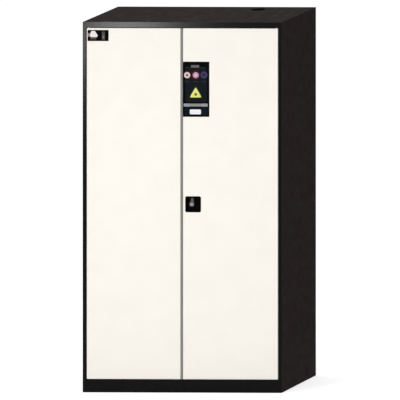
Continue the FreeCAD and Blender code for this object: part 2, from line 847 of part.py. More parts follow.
def make_exhaust_collar():
    # a spun collar, flush with the roof, its flange riveted under the roof panel
    body = new_body("exhaust_collar", across="exhaust_x", deep="exhaust_y")
    section = new_sketch(body, "XZ")
    add_outline(section, [
        ("exhaust_radius", "cabinet_height - collar_length"),
        ("exhaust_radius + collar_wall", "cabinet_height - collar_length"),
        ("exhaust_radius + collar_wall", "roof_under - collar_flange"),
        ("collar_flange_radius", "roof_under - collar_flange"),
        ("collar_flange_radius", "roof_under"),
        ("exhaust_radius + collar_wall", "roof_under"),
        ("exhaust_radius + collar_wall", "cabinet_height"),
        ("exhaust_radius", "cabinet_height"),
    ])
    doc.recompute()
    turned = body.newObject("PartDesign::Revolution", "collar_turned")
    turned.Profile = section
    turned.ReferenceAxis = (origin_feature(body, "Z_Axis"), [""])
    turned.Angle = 360
    body.Tip = turned


# Doors. Each door's frame is on its pivot axis, at the foot of the door. The way is +1 for the
# left door, whose sheet runs from the pivot towards +X, and -1 for the right door.

def door_body(label, way):
    return new_body(label, across=f"{-way} * pivot_x", deep="pivot_y", up="door_low")


def make_door_skin(label, way):
    body = door_body(label, way)
    block = new_sketch(body, "XY")
    add_rectangle(block, f"{-way} * pivot_inset", "skin_front", f"{way} * skin_far", "skin_back")
    pad(block, "door_height")
    dress(body, "Fillet", "door_fold", lambda shape: [
        name for axis in "XZ" for name in straight_edges(
            shape, axis, lambda middle: near(middle.y, "skin_front"))])
    hollow = new_sketch(body, "XZ", "skin_back")
    add_rectangle(hollow, f"{-way} * (pivot_inset - door_sheet)", "door_sheet",
                  f"{way} * (skin_far - door_sheet)", "door_height - door_sheet")
    pocket(hollow, "door_thickness - door_sheet", -1)
    for level in ("door_sheet", "door_height"):
        pin_hole = new_sketch(body, "XY", level)
        add_circle(pin_hole, "0", "0", "pin_radius + seam")
        pocket(pin_hole, "door_sheet", -1)
    return body


def cut_handle_hole(body):
    hole = new_sketch(body, "XZ", "skin_front")
    add_centred_rectangle(hole, "handle_x + dish_shift - pivot_x", "handle_level - door_low",
                          "dish_width - 2 * dish_rim + 2 * seam", "dish_height - 2 * dish_rim + 2 * seam")
    pocket(hole, "door_sheet")
    dress(body, "Fillet", "dish_corner - dish_rim + seam", lambda shape: straight_edges(
        shape, "Y", lambda middle: near(middle.y, "skin_front + door_sheet / 2")))


def make_door_liner(label, way):
    body = door_body(label, way)
    inset, inner = "(door_sheet + seam)", "(2 * door_sheet + seam)"
    front = "skin_back - liner_fold"
    block = new_sketch(body, "XY", inset)
    add_rectangle(block, f"{-way} * (pivot_inset - {inset})", front,
                  f"{way} * (skin_far - {inset})", "skin_back")
    pad(block, f"door_height - 2 * {inset}")
    hollow = new_sketch(body, "XZ", front)
    add_rectangle(hollow, f"{-way} * (pivot_inset - {inner})", inner,
                  f"{way} * (skin_far - {inner})", f"door_height - {inner}")
    pocket(hollow, "liner_fold - door_sheet")
    return body


def cut_spindle_hole(body):
    hole = new_sketch(body, "XZ", "skin_back")
    add_circle(hole, "handle_x - pivot_x", "handle_level - door_low", "gear_boss_radius + gear_boss_play")
    pocket(hole, "door_sheet", -1)


def make_door_stiffener(label, way):
    # a channel between the two sheets, open towards the liner
    body = door_body(label, way)
    front, back = "skin_front + door_sheet", "skin_back - door_sheet - seam"
    middle = f"{way} * door_width / 2"
    half = "stiffener_width / 2"
    section = new_sketch(body, "XY", "stiffener_margin")
    add_outline(section, [
        (f"{middle} - {half}", front),
        (f"{middle} + {half}", front),
        (f"{middle} + {half}", back),
        (f"{middle} + {half} - door_sheet", back),
        (f"{middle} + {half} - door_sheet", f"{front} + door_sheet"),
        (f"{middle} - {half} + door_sheet", f"{front} + door_sheet"),
        (f"{middle} - {half} + door_sheet", back),
        (f"{middle} - {half}", back),
    ])
    pad(section, "door_height - 2 * stiffener_margin")


def make_pivot_pins(label, way):
    # each pin is welded to a plate that lies against the end flange inside the door
    body = door_body(label, way)
    ends = (
        ("-(bottom_gap + bush_length - pin_end_gap)", "bottom_gap + bush_length - pin_end_gap + pin_root",
         "door_sheet"),
        ("door_height - pin_root", "pin_root + top_gap + bush_length - pin_end_gap",
         "door_height - door_sheet - pin_plate"),
    )
    for start, length, plate_level in ends:
        pin = new_sketch(body, "XY", start)
        add_circle(pin, "0", "0", "pin_radius")
        pad(pin, length)
        plate = new_sketch(body, "XY", plate_level)
        add_rectangle(plate, f"{-way} * pin_plate_width", "-pin_plate_width",
                      f"{way} * pin_plate_length", "pin_plate_width")
        pad(plate, "pin_plate")


def make_door_strikes(label, way):
    body = door_body(label, way)
    plates = new_sketch(body, "XZ", "skin_back")
    middle = f"{way} * (pivot_x - magnet_from_middle)"
    for level in ("strike_inset + strike_height / 2", "door_height - strike_inset - strike_height / 2"):
        add_centred_rectangle(plates, middle, level, "magnet_length", "strike_height")
    pad(plates, "strike_sheet")


def make_catch_bracket():
    # a hook on the left door that the tongue slips into from below
    body = door_body("catch_bracket", 1)
    strap = "tongue_back - pivot_inset + catch_gap"
    middle = "handle_level - door_low"
    section = new_sketch(body, "YZ", "skin_far - catch_inset - catch_length")
    add_outline(section, [
        ("skin_back", f"{middle} - 2 * catch_drop"),
        ("skin_back + catch_sheet", f"{middle} - 2 * catch_drop"),
        ("skin_back + catch_sheet", f"{middle} + catch_rise"),
        (strap, f"{middle} + catch_rise"),
        (strap, f"{middle} - catch_drop"),
        (f"{strap} + catch_sheet", f"{middle} - catch_drop"),
        (f"{strap} + catch_sheet", f"{middle} + catch_rise + catch_sheet"),
        ("skin_back", f"{middle} + catch_rise + catch_sheet"),
    ])
    pad(section, "catch_length")


def make_meeting_strip():
    # a moulded strip clipped over the left door's free edge, seen as the grey line between the doors
    body = door_body("meeting_strip", 1)
    section = new_sketch(body, "XY", "strip_margin")
    add_outline(section, [
        ("skin_far - strip_cover", "skin_front - strip_lap"),
        ("skin_far + strip_width", "skin_front - strip_lap"),
        ("skin_far + strip_width", "skin_back - strip_inset"),
        ("skin_far", "skin_back - strip_inset"),
        ("skin_far", "skin_front"),
        ("skin_far - strip_cover", "skin_front"),
    ])
    pad(section, "door_height - 2 * strip_margin")
    dress(body, "Fillet", "strip_round",
          lambda shape: straight_edges(shape, "Z", lambda middle: near(middle.y, "skin_front - strip_lap")))


def make_face_plate(label, way, left, low, width, height, corner):
    body = door_body(label, way)
    plate = new_sketch(body, "XZ", "skin_front")
    add_rectangle(plate, left, low, f"{left} + {width}", f"{low} + {height}")
    pad(plate, "plate_sheet", -1)
    dress(body, "Fillet", corner, lambda shape: straight_edges(shape, "Y"))


# Handle and lock. Their frame is on the handle's axis, in the plane of the door's front.

def handle_body(label):
    return new_body(label, across="handle_x", deep="door_front", up="handle_level")


def outer_edges_of_lip(shape):
    # the front edges of the rim, which lie further out than those of the recess
    names = []
    recess_half = number("dish_width / 2 - dish_rim - dish_wall")
    for index, edge in enumerate(shape.Edges, start=1):
        flat = near(edge.BoundBox.YMin, "-dish_lip") and near(edge.BoundBox.YMax, "-dish_lip")
        middle = edge.CenterOfMass
        if flat and max(abs(middle.x - number("dish_shift")), abs(middle.z)) > recess_half + 1:
            names.append(f"Edge{index}")
    return names


def make_handle_dish():
    # the lever's axis lies to the left of the dish's middle, because the lever turns to the right
    body = handle_body("handle_dish")
    lip = new_sketch(body, "XZ")
    add_centred_rectangle(lip, "dish_shift", "0", "dish_width", "dish_height")
    pad(lip, "dish_lip", -1)
    dress(body, "Fillet", "dish_corner", lambda shape: straight_edges(shape, "Y"))
    tub = new_sketch(body, "XZ")
    add_centred_rectangle(tub, "dish_shift", "0", "dish_width - 2 * dish_rim", "dish_height - 2 * dish_rim")
    pad(tub, "dish_back")
    dress(body, "Fillet", "dish_corner - dish_rim", lambda shape: straight_edges(
        shape, "Y", lambda middle: near(middle.y, "dish_back / 2")))
    recess = new_sketch(body, "XZ", "-dish_lip")
    rim = "2 * (dish_rim + dish_wall)"
    add_centred_rectangle(recess, "dish_shift", "0", f"dish_width - {rim}", f"dish_height - {rim}")
    pocket(recess, "dish_depth")
    dress(body, "Fillet", "dish_corner - dish_rim - dish_wall", lambda shape: straight_edges(
        shape, "Y", lambda middle: near(middle.y, "dish_depth / 2 - dish_lip")))
    dress(body, "Fillet", "lip_round", outer_edges_of_lip)
    bearing = new_sketch(body, "XZ", "dish_floor")
    add_circle(bearing, "0", "0", "hub_boss_radius + pin_play")
    pocket(bearing, "dish_wall")


def front_edges_of_blade(shape):
    names = []
    for index, edge in enumerate(shape.Edges, start=1):
        flat = near(edge.BoundBox.YMin, "lever_sink") and near(edge.BoundBox.YMax, "lever_sink")
        if flat and edge.CenterOfMass.z > number("hub_radius"):
            names.append(f"Edge{index}")
    return names


def make_lever_handle():
    body = handle_body("lever_handle")
    hub = new_sketch(body, "XZ", "hub_sink")
    add_circle(hub, "0", "0", "hub_radius")
    pad(hub, "hub_rear - hub_sink")
    boss = new_sketch(body, "XZ", "hub_rear")
    add_circle(boss, "0", "0", "hub_boss_radius")
    pad(boss, "hub_boss_length")
    blade = new_sketch(body, "XZ", "lever_sink")
    add_outline(blade, [
        ("-lever_root / 2", "0"),
        ("lever_root / 2", "0"),
        ("lever_lean + lever_tip / 2", "lever_reach"),
        ("lever_lean - lever_tip / 2", "lever_reach"),
    ])
    pad(blade, "lever_thickness")
    dress(body, "Fillet", "lever_tip_round", lambda shape: straight_edges(
        shape, "Y", lambda middle: near(middle.z, "lever_reach")))
    dress(body, "Fillet", "lever_round", front_edges_of_blade)
    socket = new_sketch(body, "XZ", "boss_rear")
    hole = "spindle_square + 2 * square_play"
    add_centred_rectangle(socket, "0", "0", hole, hole)
    pocket(socket, "socket_depth", -1)
    bore = new_sketch(body, "XZ", "hub_sink")
    add_circle(bore, "0", "0", "core_radius + core_play")
    pocket(bore, "core_depth")


def make_lock_cylinder():
    body = handle_body("lock_cylinder")
    core = new_sketch(body, "XZ", "hub_sink - core_stand")
    add_circle(core, "0", "0", "core_radius")
    pad(core, "core_depth + core_stand - 2 * core_play")
    slot = new_sketch(body, "XZ", "hub_sink - core_stand")
    add_centred_rectangle(slot, "0", "0", "key_slot_width", "key_slot_length")
    pocket(slot, "key_slot_depth")


def make_spindle():
    body = handle_body("spindle")
    start = "boss_rear - socket_depth + square_play"
    bar = new_sketch(body, "XZ", start)
    add_centred_rectangle(bar, "0", "0", "spindle_square", "spindle_square")
    pad(bar, f"tongue_back - ({start})")
    tail = new_sketch(body, "XZ", "tongue_back")
    add_circle(tail, "0", "0", "spindle_thread_radius")
    pad(tail, "spindle_tail")


def tooth_flank(backlash):
    # points on one involute flank, from the base circle to the tip: (radius, half the tooth's angle)
    pressure = math.radians(number("pressure_angle"))
    pitch_radius = number("pitch_radius")
    base_radius = pitch_radius * math.cos(pressure)
    tip_radius = pitch_radius + number("addendum")
    half_tooth = math.pi / (2 * number("gear_teeth")) - backlash / (2 * pitch_radius)
    flank = []
    for step in range(flank_points):
        radius = base_radius + (tip_radius - base_radius) * step / (flank_points - 1)
        roll = math.acos(base_radius / radius)
        half_angle = half_tooth + math.tan(pressure) - pressure - (math.tan(roll) - roll)
        flank.append((radius, half_angle))
    return flank


def make_drive_gear():
    # an involute gear on a turned boss; a gap between teeth faces each rack at rest
    body = handle_body("drive_gear")
    root = new_sketch(body, "XZ", "rod_front")
    add_circle(root, "0", "0", "pitch_radius - dedendum")
    pad(root, "rod_square")
    flank = tooth_flank(number("tooth_backlash"))
    lean = math.pi / number("gear_teeth")
    inside = number("pitch_radius - dedendum - tooth_sink")
    one_side = [(inside, flank[0][1])] + flank
    polar = [(radius, lean - half) for radius, half in one_side]
    polar += [(radius, lean + half) for radius, half in reversed(one_side)]
    tooth = new_sketch(body, "XZ", "rod_front")
    points = [FreeCAD.Vector(radius * math.cos(turn), radius * math.sin(turn), 0) for radius, turn in polar]
    for index, start in enumerate(points):
        tooth.addGeometry(Part.LineSegment(start, points[(index + 1) % len(points)]))
        tooth.addConstraint(Sketcher.Constraint("Block", index))
    tooth_pad = pad(tooth, "rod_square")
    ring = body.newObject("PartDesign::PolarPattern", "ring_of_teeth")
    ring.Originals = [tooth_pad]
    ring.Axis = (origin_feature(body, "Y_Axis"), [""])
    ring.Angle = 360
    ring.Occurrences = int(number("gear_teeth"))
    body.Tip = ring
    boss = new_sketch(body, "XZ", "door_thickness + rest_gap")
    add_circle(boss, "0", "0", "gear_boss_radius")
    pad(boss, "tongue_front - door_thickness - rest_gap")
    bore = new_sketch(body, "XZ", "door_thickness + rest_gap")
    hole = "spindle_square + 2 * square_play"
    add_centred_rectangle(bore, "0", "0", hole, hole)
    pocket(bore, "tongue_front - door_thickness - rest_gap")


def make_lock_rod(label, way):
    # way +1 is the upper rod, whose rack meshes on the gear's left; -1 is the lower rod
    body = handle_body(label)
    near_side, far_side = f"{-way} * rod_near", f"{-way} * rod_far"
    length = "cabinet_height - rail_face - top_gap" if way > 0 else "door_low"
    tip = f"{length} - {way} * rod_end_gap - handle_level"
    tail = f"{-way} * ({rack_teeth_behind} + 1) * rack_pitch"
    bar = new_sketch(body, "XZ", "rod_front")
    add_rectangle(bar, near_side, tail, far_side, tip)
    pad(bar, "rod_square")
    dress(body, "Chamfer", "rod_chamfer", lambda shape: straight_edges(
        shape, "Y", lambda middle: near(middle.z, tip)))
    # straight flanked teeth, a little thinner and shorter than the gaps that they enter
    root_half = "rack_pitch / 4 + dedendum * tan(pressure_angle) - tooth_backlash / 2"
    tip_half = "rack_pitch / 4 - addendum * tan(pressure_angle) - tooth_backlash / 2"
    tooth = new_sketch(body, "XZ", "rod_front")
    first = f"{-way} * {rack_teeth_behind} * rack_pitch"
    crest = f"{-way} * (pitch_radius - addendum + tip_relief)"
    add_outline(tooth, [
        (near_side, f"{first} - ({root_half})"),
        (crest, f"{first} - ({tip_half})"),
        (crest, f"{first} + ({tip_half})"),
        (near_side, f"{first} + ({root_half})"),
    ])
    tooth_pad = pad(tooth, "rod_square")
    row = repeat_along(body, [tooth_pad], "Z", "rack_pitch", rack_teeth)
    row.Reversed = way < 0


def make_lock_tongue():
    body = handle_body("lock_tongue")
    arm = new_sketch(body, "XZ", "tongue_front")
    add_rectangle(arm, "-tongue_width / 2", "-(handle_x + tongue_overlap)", "tongue_width / 2", "0")
    pad(arm, "tongue_sheet")
    dress(body, "Fillet", "tongue_tip_round", lambda shape: straight_edges(
        shape, "Y", lambda middle: near(middle.z, "-(handle_x + tongue_overlap)")))
    eye = new_sketch(body, "XZ", "tongue_front")
    add_circle(eye, "0", "0", "tongue_hub_radius")
    pad(eye, "tongue_sheet")
    hole = new_sketch(body, "XZ", "tongue_front")
    square = "spindle_square + 2 * square_play"
    add_centred_rectangle(hole, "0", "0", square, square)
    pocket(hole, "tongue_sheet")


def make_spindle_nut():
    body = handle_body("spindle_nut")
    nut = new_sketch(body, "XZ", "tongue_back")
    add_hexagon(nut, "0", "0", "nut_radius")
    add_circle(nut, "0", "0", "spindle_thread_radius + square_play")
    pad(nut, "nut_height")


def make_lock_base():
    body = handle_body("lock_base")
    plate = new_sketch(body, "XZ", "door_thickness")
    add_centred_rectangle(plate, "0", "0", "2 * (case_half + lock_flange)", "lock_height")
    add_circle(plate, "0", "0", "gear_boss_radius + pin_play")
    pad(plate, "lock_sheet")


def make_lock_case():
    # a hat section over the gear, open at both ends for the rods
    body = handle_body("lock_case")
    wall = "case_half + case_sheet"
    flange = "case_half + lock_flange"
    section = new_sketch(body, "XY", "-lock_height / 2")
    add_outline(section, [
        (f"-({flange})", "base_back"),
        (f"-({flange})", "base_back + case_sheet"),
        (f"-({wall})", "base_back + case_sheet"),
        (f"-({wall})", "case_back"),
        (wall, "case_back"),
        (wall, "base_back + case_sheet"),
        (flange, "base_back + case_sheet"),
        (flange, "base_back"),
        ("case_half", "base_back"),
        ("case_half", "case_inside"),
        ("-case_half", "case_inside"),
        ("-case_half", "base_back"),
    ])
    pad(section, "lock_height")
    bearing = new_sketch(body, "XZ", "case_inside")
    add_circle(bearing, "0", "0", "gear_boss_radius + pin_play")
    pocket(bearing, "case_sheet")


def make_rod_guides():
    body = handle_body("rod_guides")
    half = "(rod_square / 2 + guide_wall)"
    for way, reach in ((-1, "door_low - handle_level"), (1, "rail_low - top_gap - handle_level")):
        middle = f"{-way} * rod_middle"
        for share in ("guide_near_share", "guide_far_share"):
            block = new_sketch(body, "XY", f"({reach}) * {share}")
            add_rectangle(block, f"{middle} - {half}", "door_thickness",
                          f"{middle} + {half}", "rod_back + guide_wall")
            add_rectangle(block, f"{middle} - rod_square / 2 - rod_play", "rod_front - rod_play",
                          f"{middle} + rod_square / 2 + rod_play", "rod_back + rod_play")
            pad(block, "guide_height")


# The whole cabinet

def make_carcass():
    make_side_panel("side_panel_left", -1)
    make_side_panel("side_panel_right", 1)
    make_rear_panel()
    make_roof_panel()
    make_top_rail()
    make_floor_pan()
    make_front_plinth()
    make_rear_plinth()
    make_base_rail("base_rail_left", -1)
    make_base_rail("base_rail_right", 1)
    make_levelling_feet()
    make_door_jamb("door_jamb_left", -1)
    make_door_jamb("door_jamb_right", 1)
    make_door_buffers()
    make_pivot_bushes()
    make_rod_keepers()
    make_magnet_catches()


def make_inside():
    for name, side in (("left", -1), ("right", 1)):
        make_shelf_post(f"shelf_post_front_{name}", side, "front_y + front_post_inset")
        make_shelf_post(f"shelf_post_rear_{name}", side, "back_y - rear_post_inset")
    make_shelf_clips()
    for shelf in range(shelf_count):
        make_tray(f"tray_shelf_{shelf + 1}", f"shelf_level + {shelf} * shelf_step", "tray_lip")
    make_tray("sump_tray", "plinth_height", "sump_height")
    make_sump_grid()
    make_air_duct()
    make_air_plenum()
    make_exhaust_collar()


def make_doors():
    for name, way in (("left", 1), ("right", -1)):
        skin = make_door_skin(f"{name}_door_skin", way)
        liner = make_door_liner(f"{name}_door_liner", way)
        if name == "right":
            cut_handle_hole(skin)
            cut_spindle_hole(liner)
        make_door_stiffener(f"{name}_door_stiffener", way)
        make_pivot_pins(f"{name}_pivot_pins", way)
        make_door_strikes(f"{name}_door_strikes", way)
    make_catch_bracket()
    make_meeting_strip()
    make_face_plate("badge_plate", 1, "badge_inset - pivot_inset",
                    "door_height - badge_drop - badge_height", "badge_width", "badge_height", "badge_corner")
    make_face_plate("sign_panel", -1, "sign_inset - skin_far",
                    "door_height - sign_drop - sign_height", "sign_width", "sign_height", "sign_corner")


def make_lock():
    make_handle_dish()
    make_lever_handle()
    make_lock_cylinder()
    make_spindle()
    make_drive_gear()
    make_lock_tongue()
    make_spindle_nut()
    make_lock_base()
    make_lock_case()
    make_rod_guides()
    make_lock_rod("upper_rod", 1)
    make_lock_rod("lower_rod", -1)


def check_document():
    # nothing may be failed, empty or invalid, and every pocket has to have removed something
    faults = []
    for item in doc.Objects:
        if "Invalid" in item.State or "Error" in item.State:
            faults.append(f"{item.Label} failed")
        elif item.TypeId == "PartDesign::Pocket":
            if item.Shape.Volume > item.BaseFeature.Shape.Volume - 0.01:
                faults.append(f"{item.Label} cuts nothing")
    for body in finished_parts:
        if body.Shape.isNull() or not body.Shape.isValid() or not body.Shape.Solids:
            faults.append(f"{body.Label} has no valid solid")
    if faults:
        raise RuntimeError("; ".join(faults))


make_carcass()
make_inside()
make_doors()
make_lock()
doc.recompute()
check_document()
os.makedirs("parts", exist_ok=True)
for body in finished_parts:
    body.Shape.exportStep(os.path.join("parts", body.Label + ".step"))
print(f"{len(finished_parts)} parts, {sum(len(body.Shape.Solids) for body in finished_parts)} solids")
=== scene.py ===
import math

import bmesh
import bpy
from mathutils import Matrix, Vector


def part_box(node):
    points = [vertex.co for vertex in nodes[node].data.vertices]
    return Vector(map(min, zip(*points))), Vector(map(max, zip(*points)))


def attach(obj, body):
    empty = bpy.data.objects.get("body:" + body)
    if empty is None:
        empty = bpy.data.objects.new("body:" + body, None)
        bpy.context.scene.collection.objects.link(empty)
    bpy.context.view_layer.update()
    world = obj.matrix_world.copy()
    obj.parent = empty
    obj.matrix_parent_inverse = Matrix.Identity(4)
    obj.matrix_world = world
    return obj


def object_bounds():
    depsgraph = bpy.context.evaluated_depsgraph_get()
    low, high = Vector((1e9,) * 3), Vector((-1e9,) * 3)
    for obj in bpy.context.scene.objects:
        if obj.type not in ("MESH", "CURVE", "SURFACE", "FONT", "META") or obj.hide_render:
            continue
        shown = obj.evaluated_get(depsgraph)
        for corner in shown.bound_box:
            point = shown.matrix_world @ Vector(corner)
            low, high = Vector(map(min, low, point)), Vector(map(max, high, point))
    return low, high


# Chemical storage cabinet, in metres. The CAD frame stays as it is: this script gives every
# part its finish and adds the printed plates, rivets, screws and threads.

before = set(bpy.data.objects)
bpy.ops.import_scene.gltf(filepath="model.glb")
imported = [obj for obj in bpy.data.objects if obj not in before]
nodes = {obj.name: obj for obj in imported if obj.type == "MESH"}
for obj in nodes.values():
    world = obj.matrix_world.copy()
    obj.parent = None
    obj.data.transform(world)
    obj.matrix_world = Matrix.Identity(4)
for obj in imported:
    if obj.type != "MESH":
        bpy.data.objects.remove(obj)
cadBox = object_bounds()
print("frame loaded:", len(nodes), "parts")


# Node helpers, shared by all the finishes

def newFinish(name):
    finish = bpy.data.materials.new(name)
    finish.use_nodes = True
    tree = finish.node_tree
    return finish, tree, tree.nodes["Principled BSDF"]


def objectPoint(tree, stretch=(1, 1, 1)):
    # the parts keep the row's own coordinates, so a pattern stays put when a door opens
    place = tree.nodes.new("ShaderNodeTexCoord")
    scale = tree.nodes.new("ShaderNodeVectorMath")
    scale.operation = "MULTIPLY"
    scale.inputs[1].default_value = stretch
    tree.links.new(place.outputs["Object"], scale.inputs[0])
    return scale.outputs[0]


def noise(tree, perMetre, detail=2.0, rough=0.5, stretch=(1, 1, 1)):
    texture = tree.nodes.new("ShaderNodeTexNoise")
    texture.inputs["Scale"].default_value = perMetre
    texture.inputs["Detail"].default_value = detail
    texture.inputs["Roughness"].default_value = rough
    tree.links.new(objectPoint(tree, stretch), texture.inputs["Vector"])
    return texture.outputs[0]


def cells(tree, perMetre, output="Distance", stretch=(1, 1, 1)):
    texture = tree.nodes.new("ShaderNodeTexVoronoi")
    texture.inputs["Scale"].default_value = perMetre
    tree.links.new(objectPoint(tree, stretch), texture.inputs["Vector"])
    return texture.outputs[output]


def spread(tree, value, low, high, fromLow=0.3, fromHigh=0.7):
    # maps a texture's usual range to the range that a socket needs
    ramp = tree.nodes.new("ShaderNodeMapRange")
    ramp.inputs["From Min"].default_value = fromLow
    ramp.inputs["From Max"].default_value = fromHigh
    ramp.inputs["To Min"].default_value = low
    ramp.inputs["To Max"].default_value = high
    tree.links.new(value, ramp.inputs["Value"])
    return ramp.outputs[0]


def mixColours(tree, mask, first, second):
    mix = tree.nodes.new("ShaderNodeMixRGB")
    for socket, value in ((mix.inputs[1], first), (mix.inputs[2], second)):
        if isinstance(value, bpy.types.NodeSocket):
            tree.links.new(value, socket)
        else:
            socket.default_value = (*value, 1)
    tree.links.new(mask, mix.inputs[0])
    return mix.outputs[0]


def combine(tree, first, second, operation="MULTIPLY"):
    step = tree.nodes.new("ShaderNodeMath")
    step.operation = operation
    step.use_clamp = True
    for socket, value in ((step.inputs[0], first), (step.inputs[1], second)):
        if isinstance(value, bpy.types.NodeSocket):
            tree.links.new(value, socket)
        else:
            socket.default_value = value
    return step.outputs[0]


def heightMask(tree, full, gone):
    # 1 at the height called full, 0 at the height called gone
    split = tree.nodes.new("ShaderNodeSeparateXYZ")
    tree.links.new(objectPoint(tree), split.inputs[0])
    return spread(tree, split.outputs[2], 1, 0, full, gone)


def frontMask(tree, depth):
    # 1 in front of the depth, 0 behind it
    split = tree.nodes.new("ShaderNodeSeparateXYZ")
    tree.links.new(objectPoint(tree), split.inputs[0])
    return spread(tree, split.outputs[1], 1, 0, depth - 0.0002, depth + 0.0002)


def addBumps(tree, shader, bumps):
    # bumps holds (texture, depth in metres), the widest first
    below = None
    for texture, depth in bumps:
        bump = tree.nodes.new("ShaderNodeBump")
        bump.inputs["Strength"].default_value = 1.0
        bump.inputs["Distance"].default_value = depth
        tree.links.new(texture, bump.inputs["Height"])
        if below:
            tree.links.new(below, bump.inputs["Normal"])
        below = bump.outputs[0]
    tree.links.new(below, shader.inputs["Normal"])


def shade(colour, factor):
    return tuple(channel * factor for channel in colour)


# Powder coat on sheet steel: orange peel, a faint wave in the sheet, scuffs and dust low down

doorCoatLook = {
    "colour": (0.965, 0.925, 0.855),
    "mottle": 0.975,
    "rough": (0.50, 0.62),
    "specular": 0.14,
    "peelPerMetre": 420, "peelDepth": 0.00003,
    "wavePerMetre": 2.2, "waveDepth": 0.0012,
    "dust": (0.62, 0.60, 0.56), "dustAmount": 0.10,
    "scuff": (0.66, 0.65, 0.62), "scuffAmount": 0.10,
}

carcassCoatLook = {
    "colour": (0.0205, 0.0143, 0.0147),
    "mottle": 0.93,
    "rough": (0.56, 0.74),
    "specular": 0.008,
    "peelPerMetre": 520, "peelDepth": 0.00003,
    "wavePerMetre": 1.8, "waveDepth": 0.0010,
    "dust": (0.10, 0.095, 0.085), "dustAmount": 0.10,
    "scuff": (0.05, 0.048, 0.045), "scuffAmount": 0.10,
    # the front folds are wiped with the doors, so they are glossier than the walls; their colour is also
    # darkened towards black as painted shade
    "front": {"behind": 0.0006, "paintedShade": 0.95, "roughShare": 0.27,
              "gloss": 0.150, "glossRough": 0.187},
}

innerCoatLook = {
    "colour": (0.46, 0.48, 0.48),
    "mottle": 0.94,
    "rough": (0.40, 0.58),
    "specular": 0.40,
    "peelPerMetre": 420, "peelDepth": 0.00003,
    "wavePerMetre": 3.0, "waveDepth": 0.0006,
    "dust": (0.40, 0.38, 0.34), "dustAmount": 0.12,
    "scuff": (0.28, 0.28, 0.27), "scuffAmount": 0.30,
}


def powderCoat(name, look):
    finish, tree, shader = newFinish(name)
    clouds = noise(tree, 9, detail=4)
    mottled = shade(look["colour"], look["mottle"])
    coat = mixColours(tree, spread(tree, clouds, 0, 1), mottled, look["colour"])
    scratches = noise(tree, 60, detail=6, rough=0.75, stretch=(1, 1, 0.12))
    scuffMask = combine(tree, spread(tree, scratches, 0, 1, 0.62, 0.72), look["scuffAmount"])
    coat = mixColours(tree, scuffMask, coat, look["scuff"])
    dustMask = combine(tree, spread(tree, noise(tree, 35, detail=5), 0.2, 1), heightMask(tree, 0.0, 0.28))
    coat = mixColours(tree, combine(tree, dustMask, look["dustAmount"]), coat, look["dust"])
    low, high = look["rough"]
    rough = spread(tree, noise(tree, 26, detail=5), low, high)
    if "front" in look:
        front = look["front"]
        mask = frontMask(tree, cadBox[0].y + front["behind"])
        # painted shade: the colour of the front faces is mixed towards black
        coat = mixColours(tree, combine(tree, mask, front["paintedShade"]), coat, (0.0, 0.0, 0.0))
        rough = combine(tree, rough, spread(tree, mask, 1, front["roughShare"], 0, 1))
        tree.links.new(combine(tree, mask, front["gloss"]), shader.inputs["Coat Weight"])
        shader.inputs["Coat Roughness"].default_value = front["glossRough"]
    tree.links.new(coat, shader.inputs["Base Color"])
    tree.links.new(rough, shader.inputs["Roughness"])
    shader.inputs["Specular IOR Level"].default_value = look["specular"]
    addBumps(tree, shader, [
        (noise(tree, look["wavePerMetre"], detail=1), look["waveDepth"]),
        (noise(tree, look["peelPerMetre"], detail=3), look["peelDepth"]),
    ])
    return finish


# Metals

galvanisedLook = {
    "bright": (0.66, 0.67, 0.68),
    "dull": (0.46, 0.47, 0.49),
    "spanglePerMetre": 85,
    "rough": (0.36, 0.58),
}


def galvanisedSheet(name, look):
    # zinc flowers: each cell has its own grey and its own gloss
    finish, tree, shader = newFinish(name)
    flowers = tree.nodes.new("ShaderNodeSeparateColor")
    tree.links.new(cells(tree, look["spanglePerMetre"], "Color"), flowers.inputs[0])
    grey = mixColours(tree, flowers.outputs[0], look["dull"], look["bright"])
    stain = spread(tree, noise(tree, 14, detail=5), 0, 0.35)
    tree.links.new(mixColours(tree, stain, grey, shade(look["dull"], 0.8)), shader.inputs["Base Color"])
    shader.inputs["Metallic"].default_value = 0.9
    low, high = look["rough"]
    tree.links.new(spread(tree, flowers.outputs[1], low, high, 0, 1), shader.inputs["Roughness"])
    addBumps(tree, shader, [
        (noise(tree, 4, detail=1), 0.0006),
        (cells(tree, look["spanglePerMetre"]), 0.00002),
    ])
    return finish


def brushedMetal(name, look):
    finish, tree, shader = newFinish(name)
    streaks = noise(tree, look["streaksPerMetre"], detail=4, rough=0.7, stretch=look["stretch"])
    stains = noise(tree, 45, detail=5)
    metal = mixColours(tree, spread(tree, streaks, 0, 1), look["dark"], look["light"])
    metal = mixColours(tree, spread(tree, stains, 0, look["tarnishAmount"]), metal, look["tarnish"])
    tree.links.new(metal, shader.inputs["Base Color"])
    shader.inputs["Metallic"].default_value = 1.0
    low, high = look["rough"]
    unevenness = combine(tree, streaks, stains, "ADD")
    tree.links.new(spread(tree, unevenness, low, high, 0.7, 1), shader.inputs["Roughness"])
    addBumps(tree, shader, [(stains, 0.00004), (streaks, look["streakDepth"])])
    return finish


zincPlateLook = {
    "light": (0.66, 0.66, 0.63), "dark": (0.50, 0.50, 0.48),
    "streaksPerMetre": 900, "stretch": (1, 1, 0.04), "streakDepth": 0.00001,
    "tarnish": (0.44, 0.40, 0.30), "tarnishAmount": 0.30,
    "rough": (0.26, 0.42),
}

leverLook = {
    "light": (0.072, 0.064, 0.068), "dark": (0.046, 0.040, 0.043),
    "streaksPerMetre": 1600, "stretch": (1, 1, 0.06), "streakDepth": 0.000008,
    "tarnish": (0.030, 0.026, 0.025), "tarnishAmount": 0.25,
    "rough": (0.30, 0.44),
}

cylinderLook = {
    "light": (0.255, 0.236, 0.243), "dark": (0.185, 0.170, 0.176),
    "streaksPerMetre": 2200, "stretch": (1, 0.1, 1), "streakDepth": 0.000006,
    "tarnish": (0.30, 0.27, 0.20), "tarnishAmount": 0.20,
    "rough": (0.16, 0.30),
}

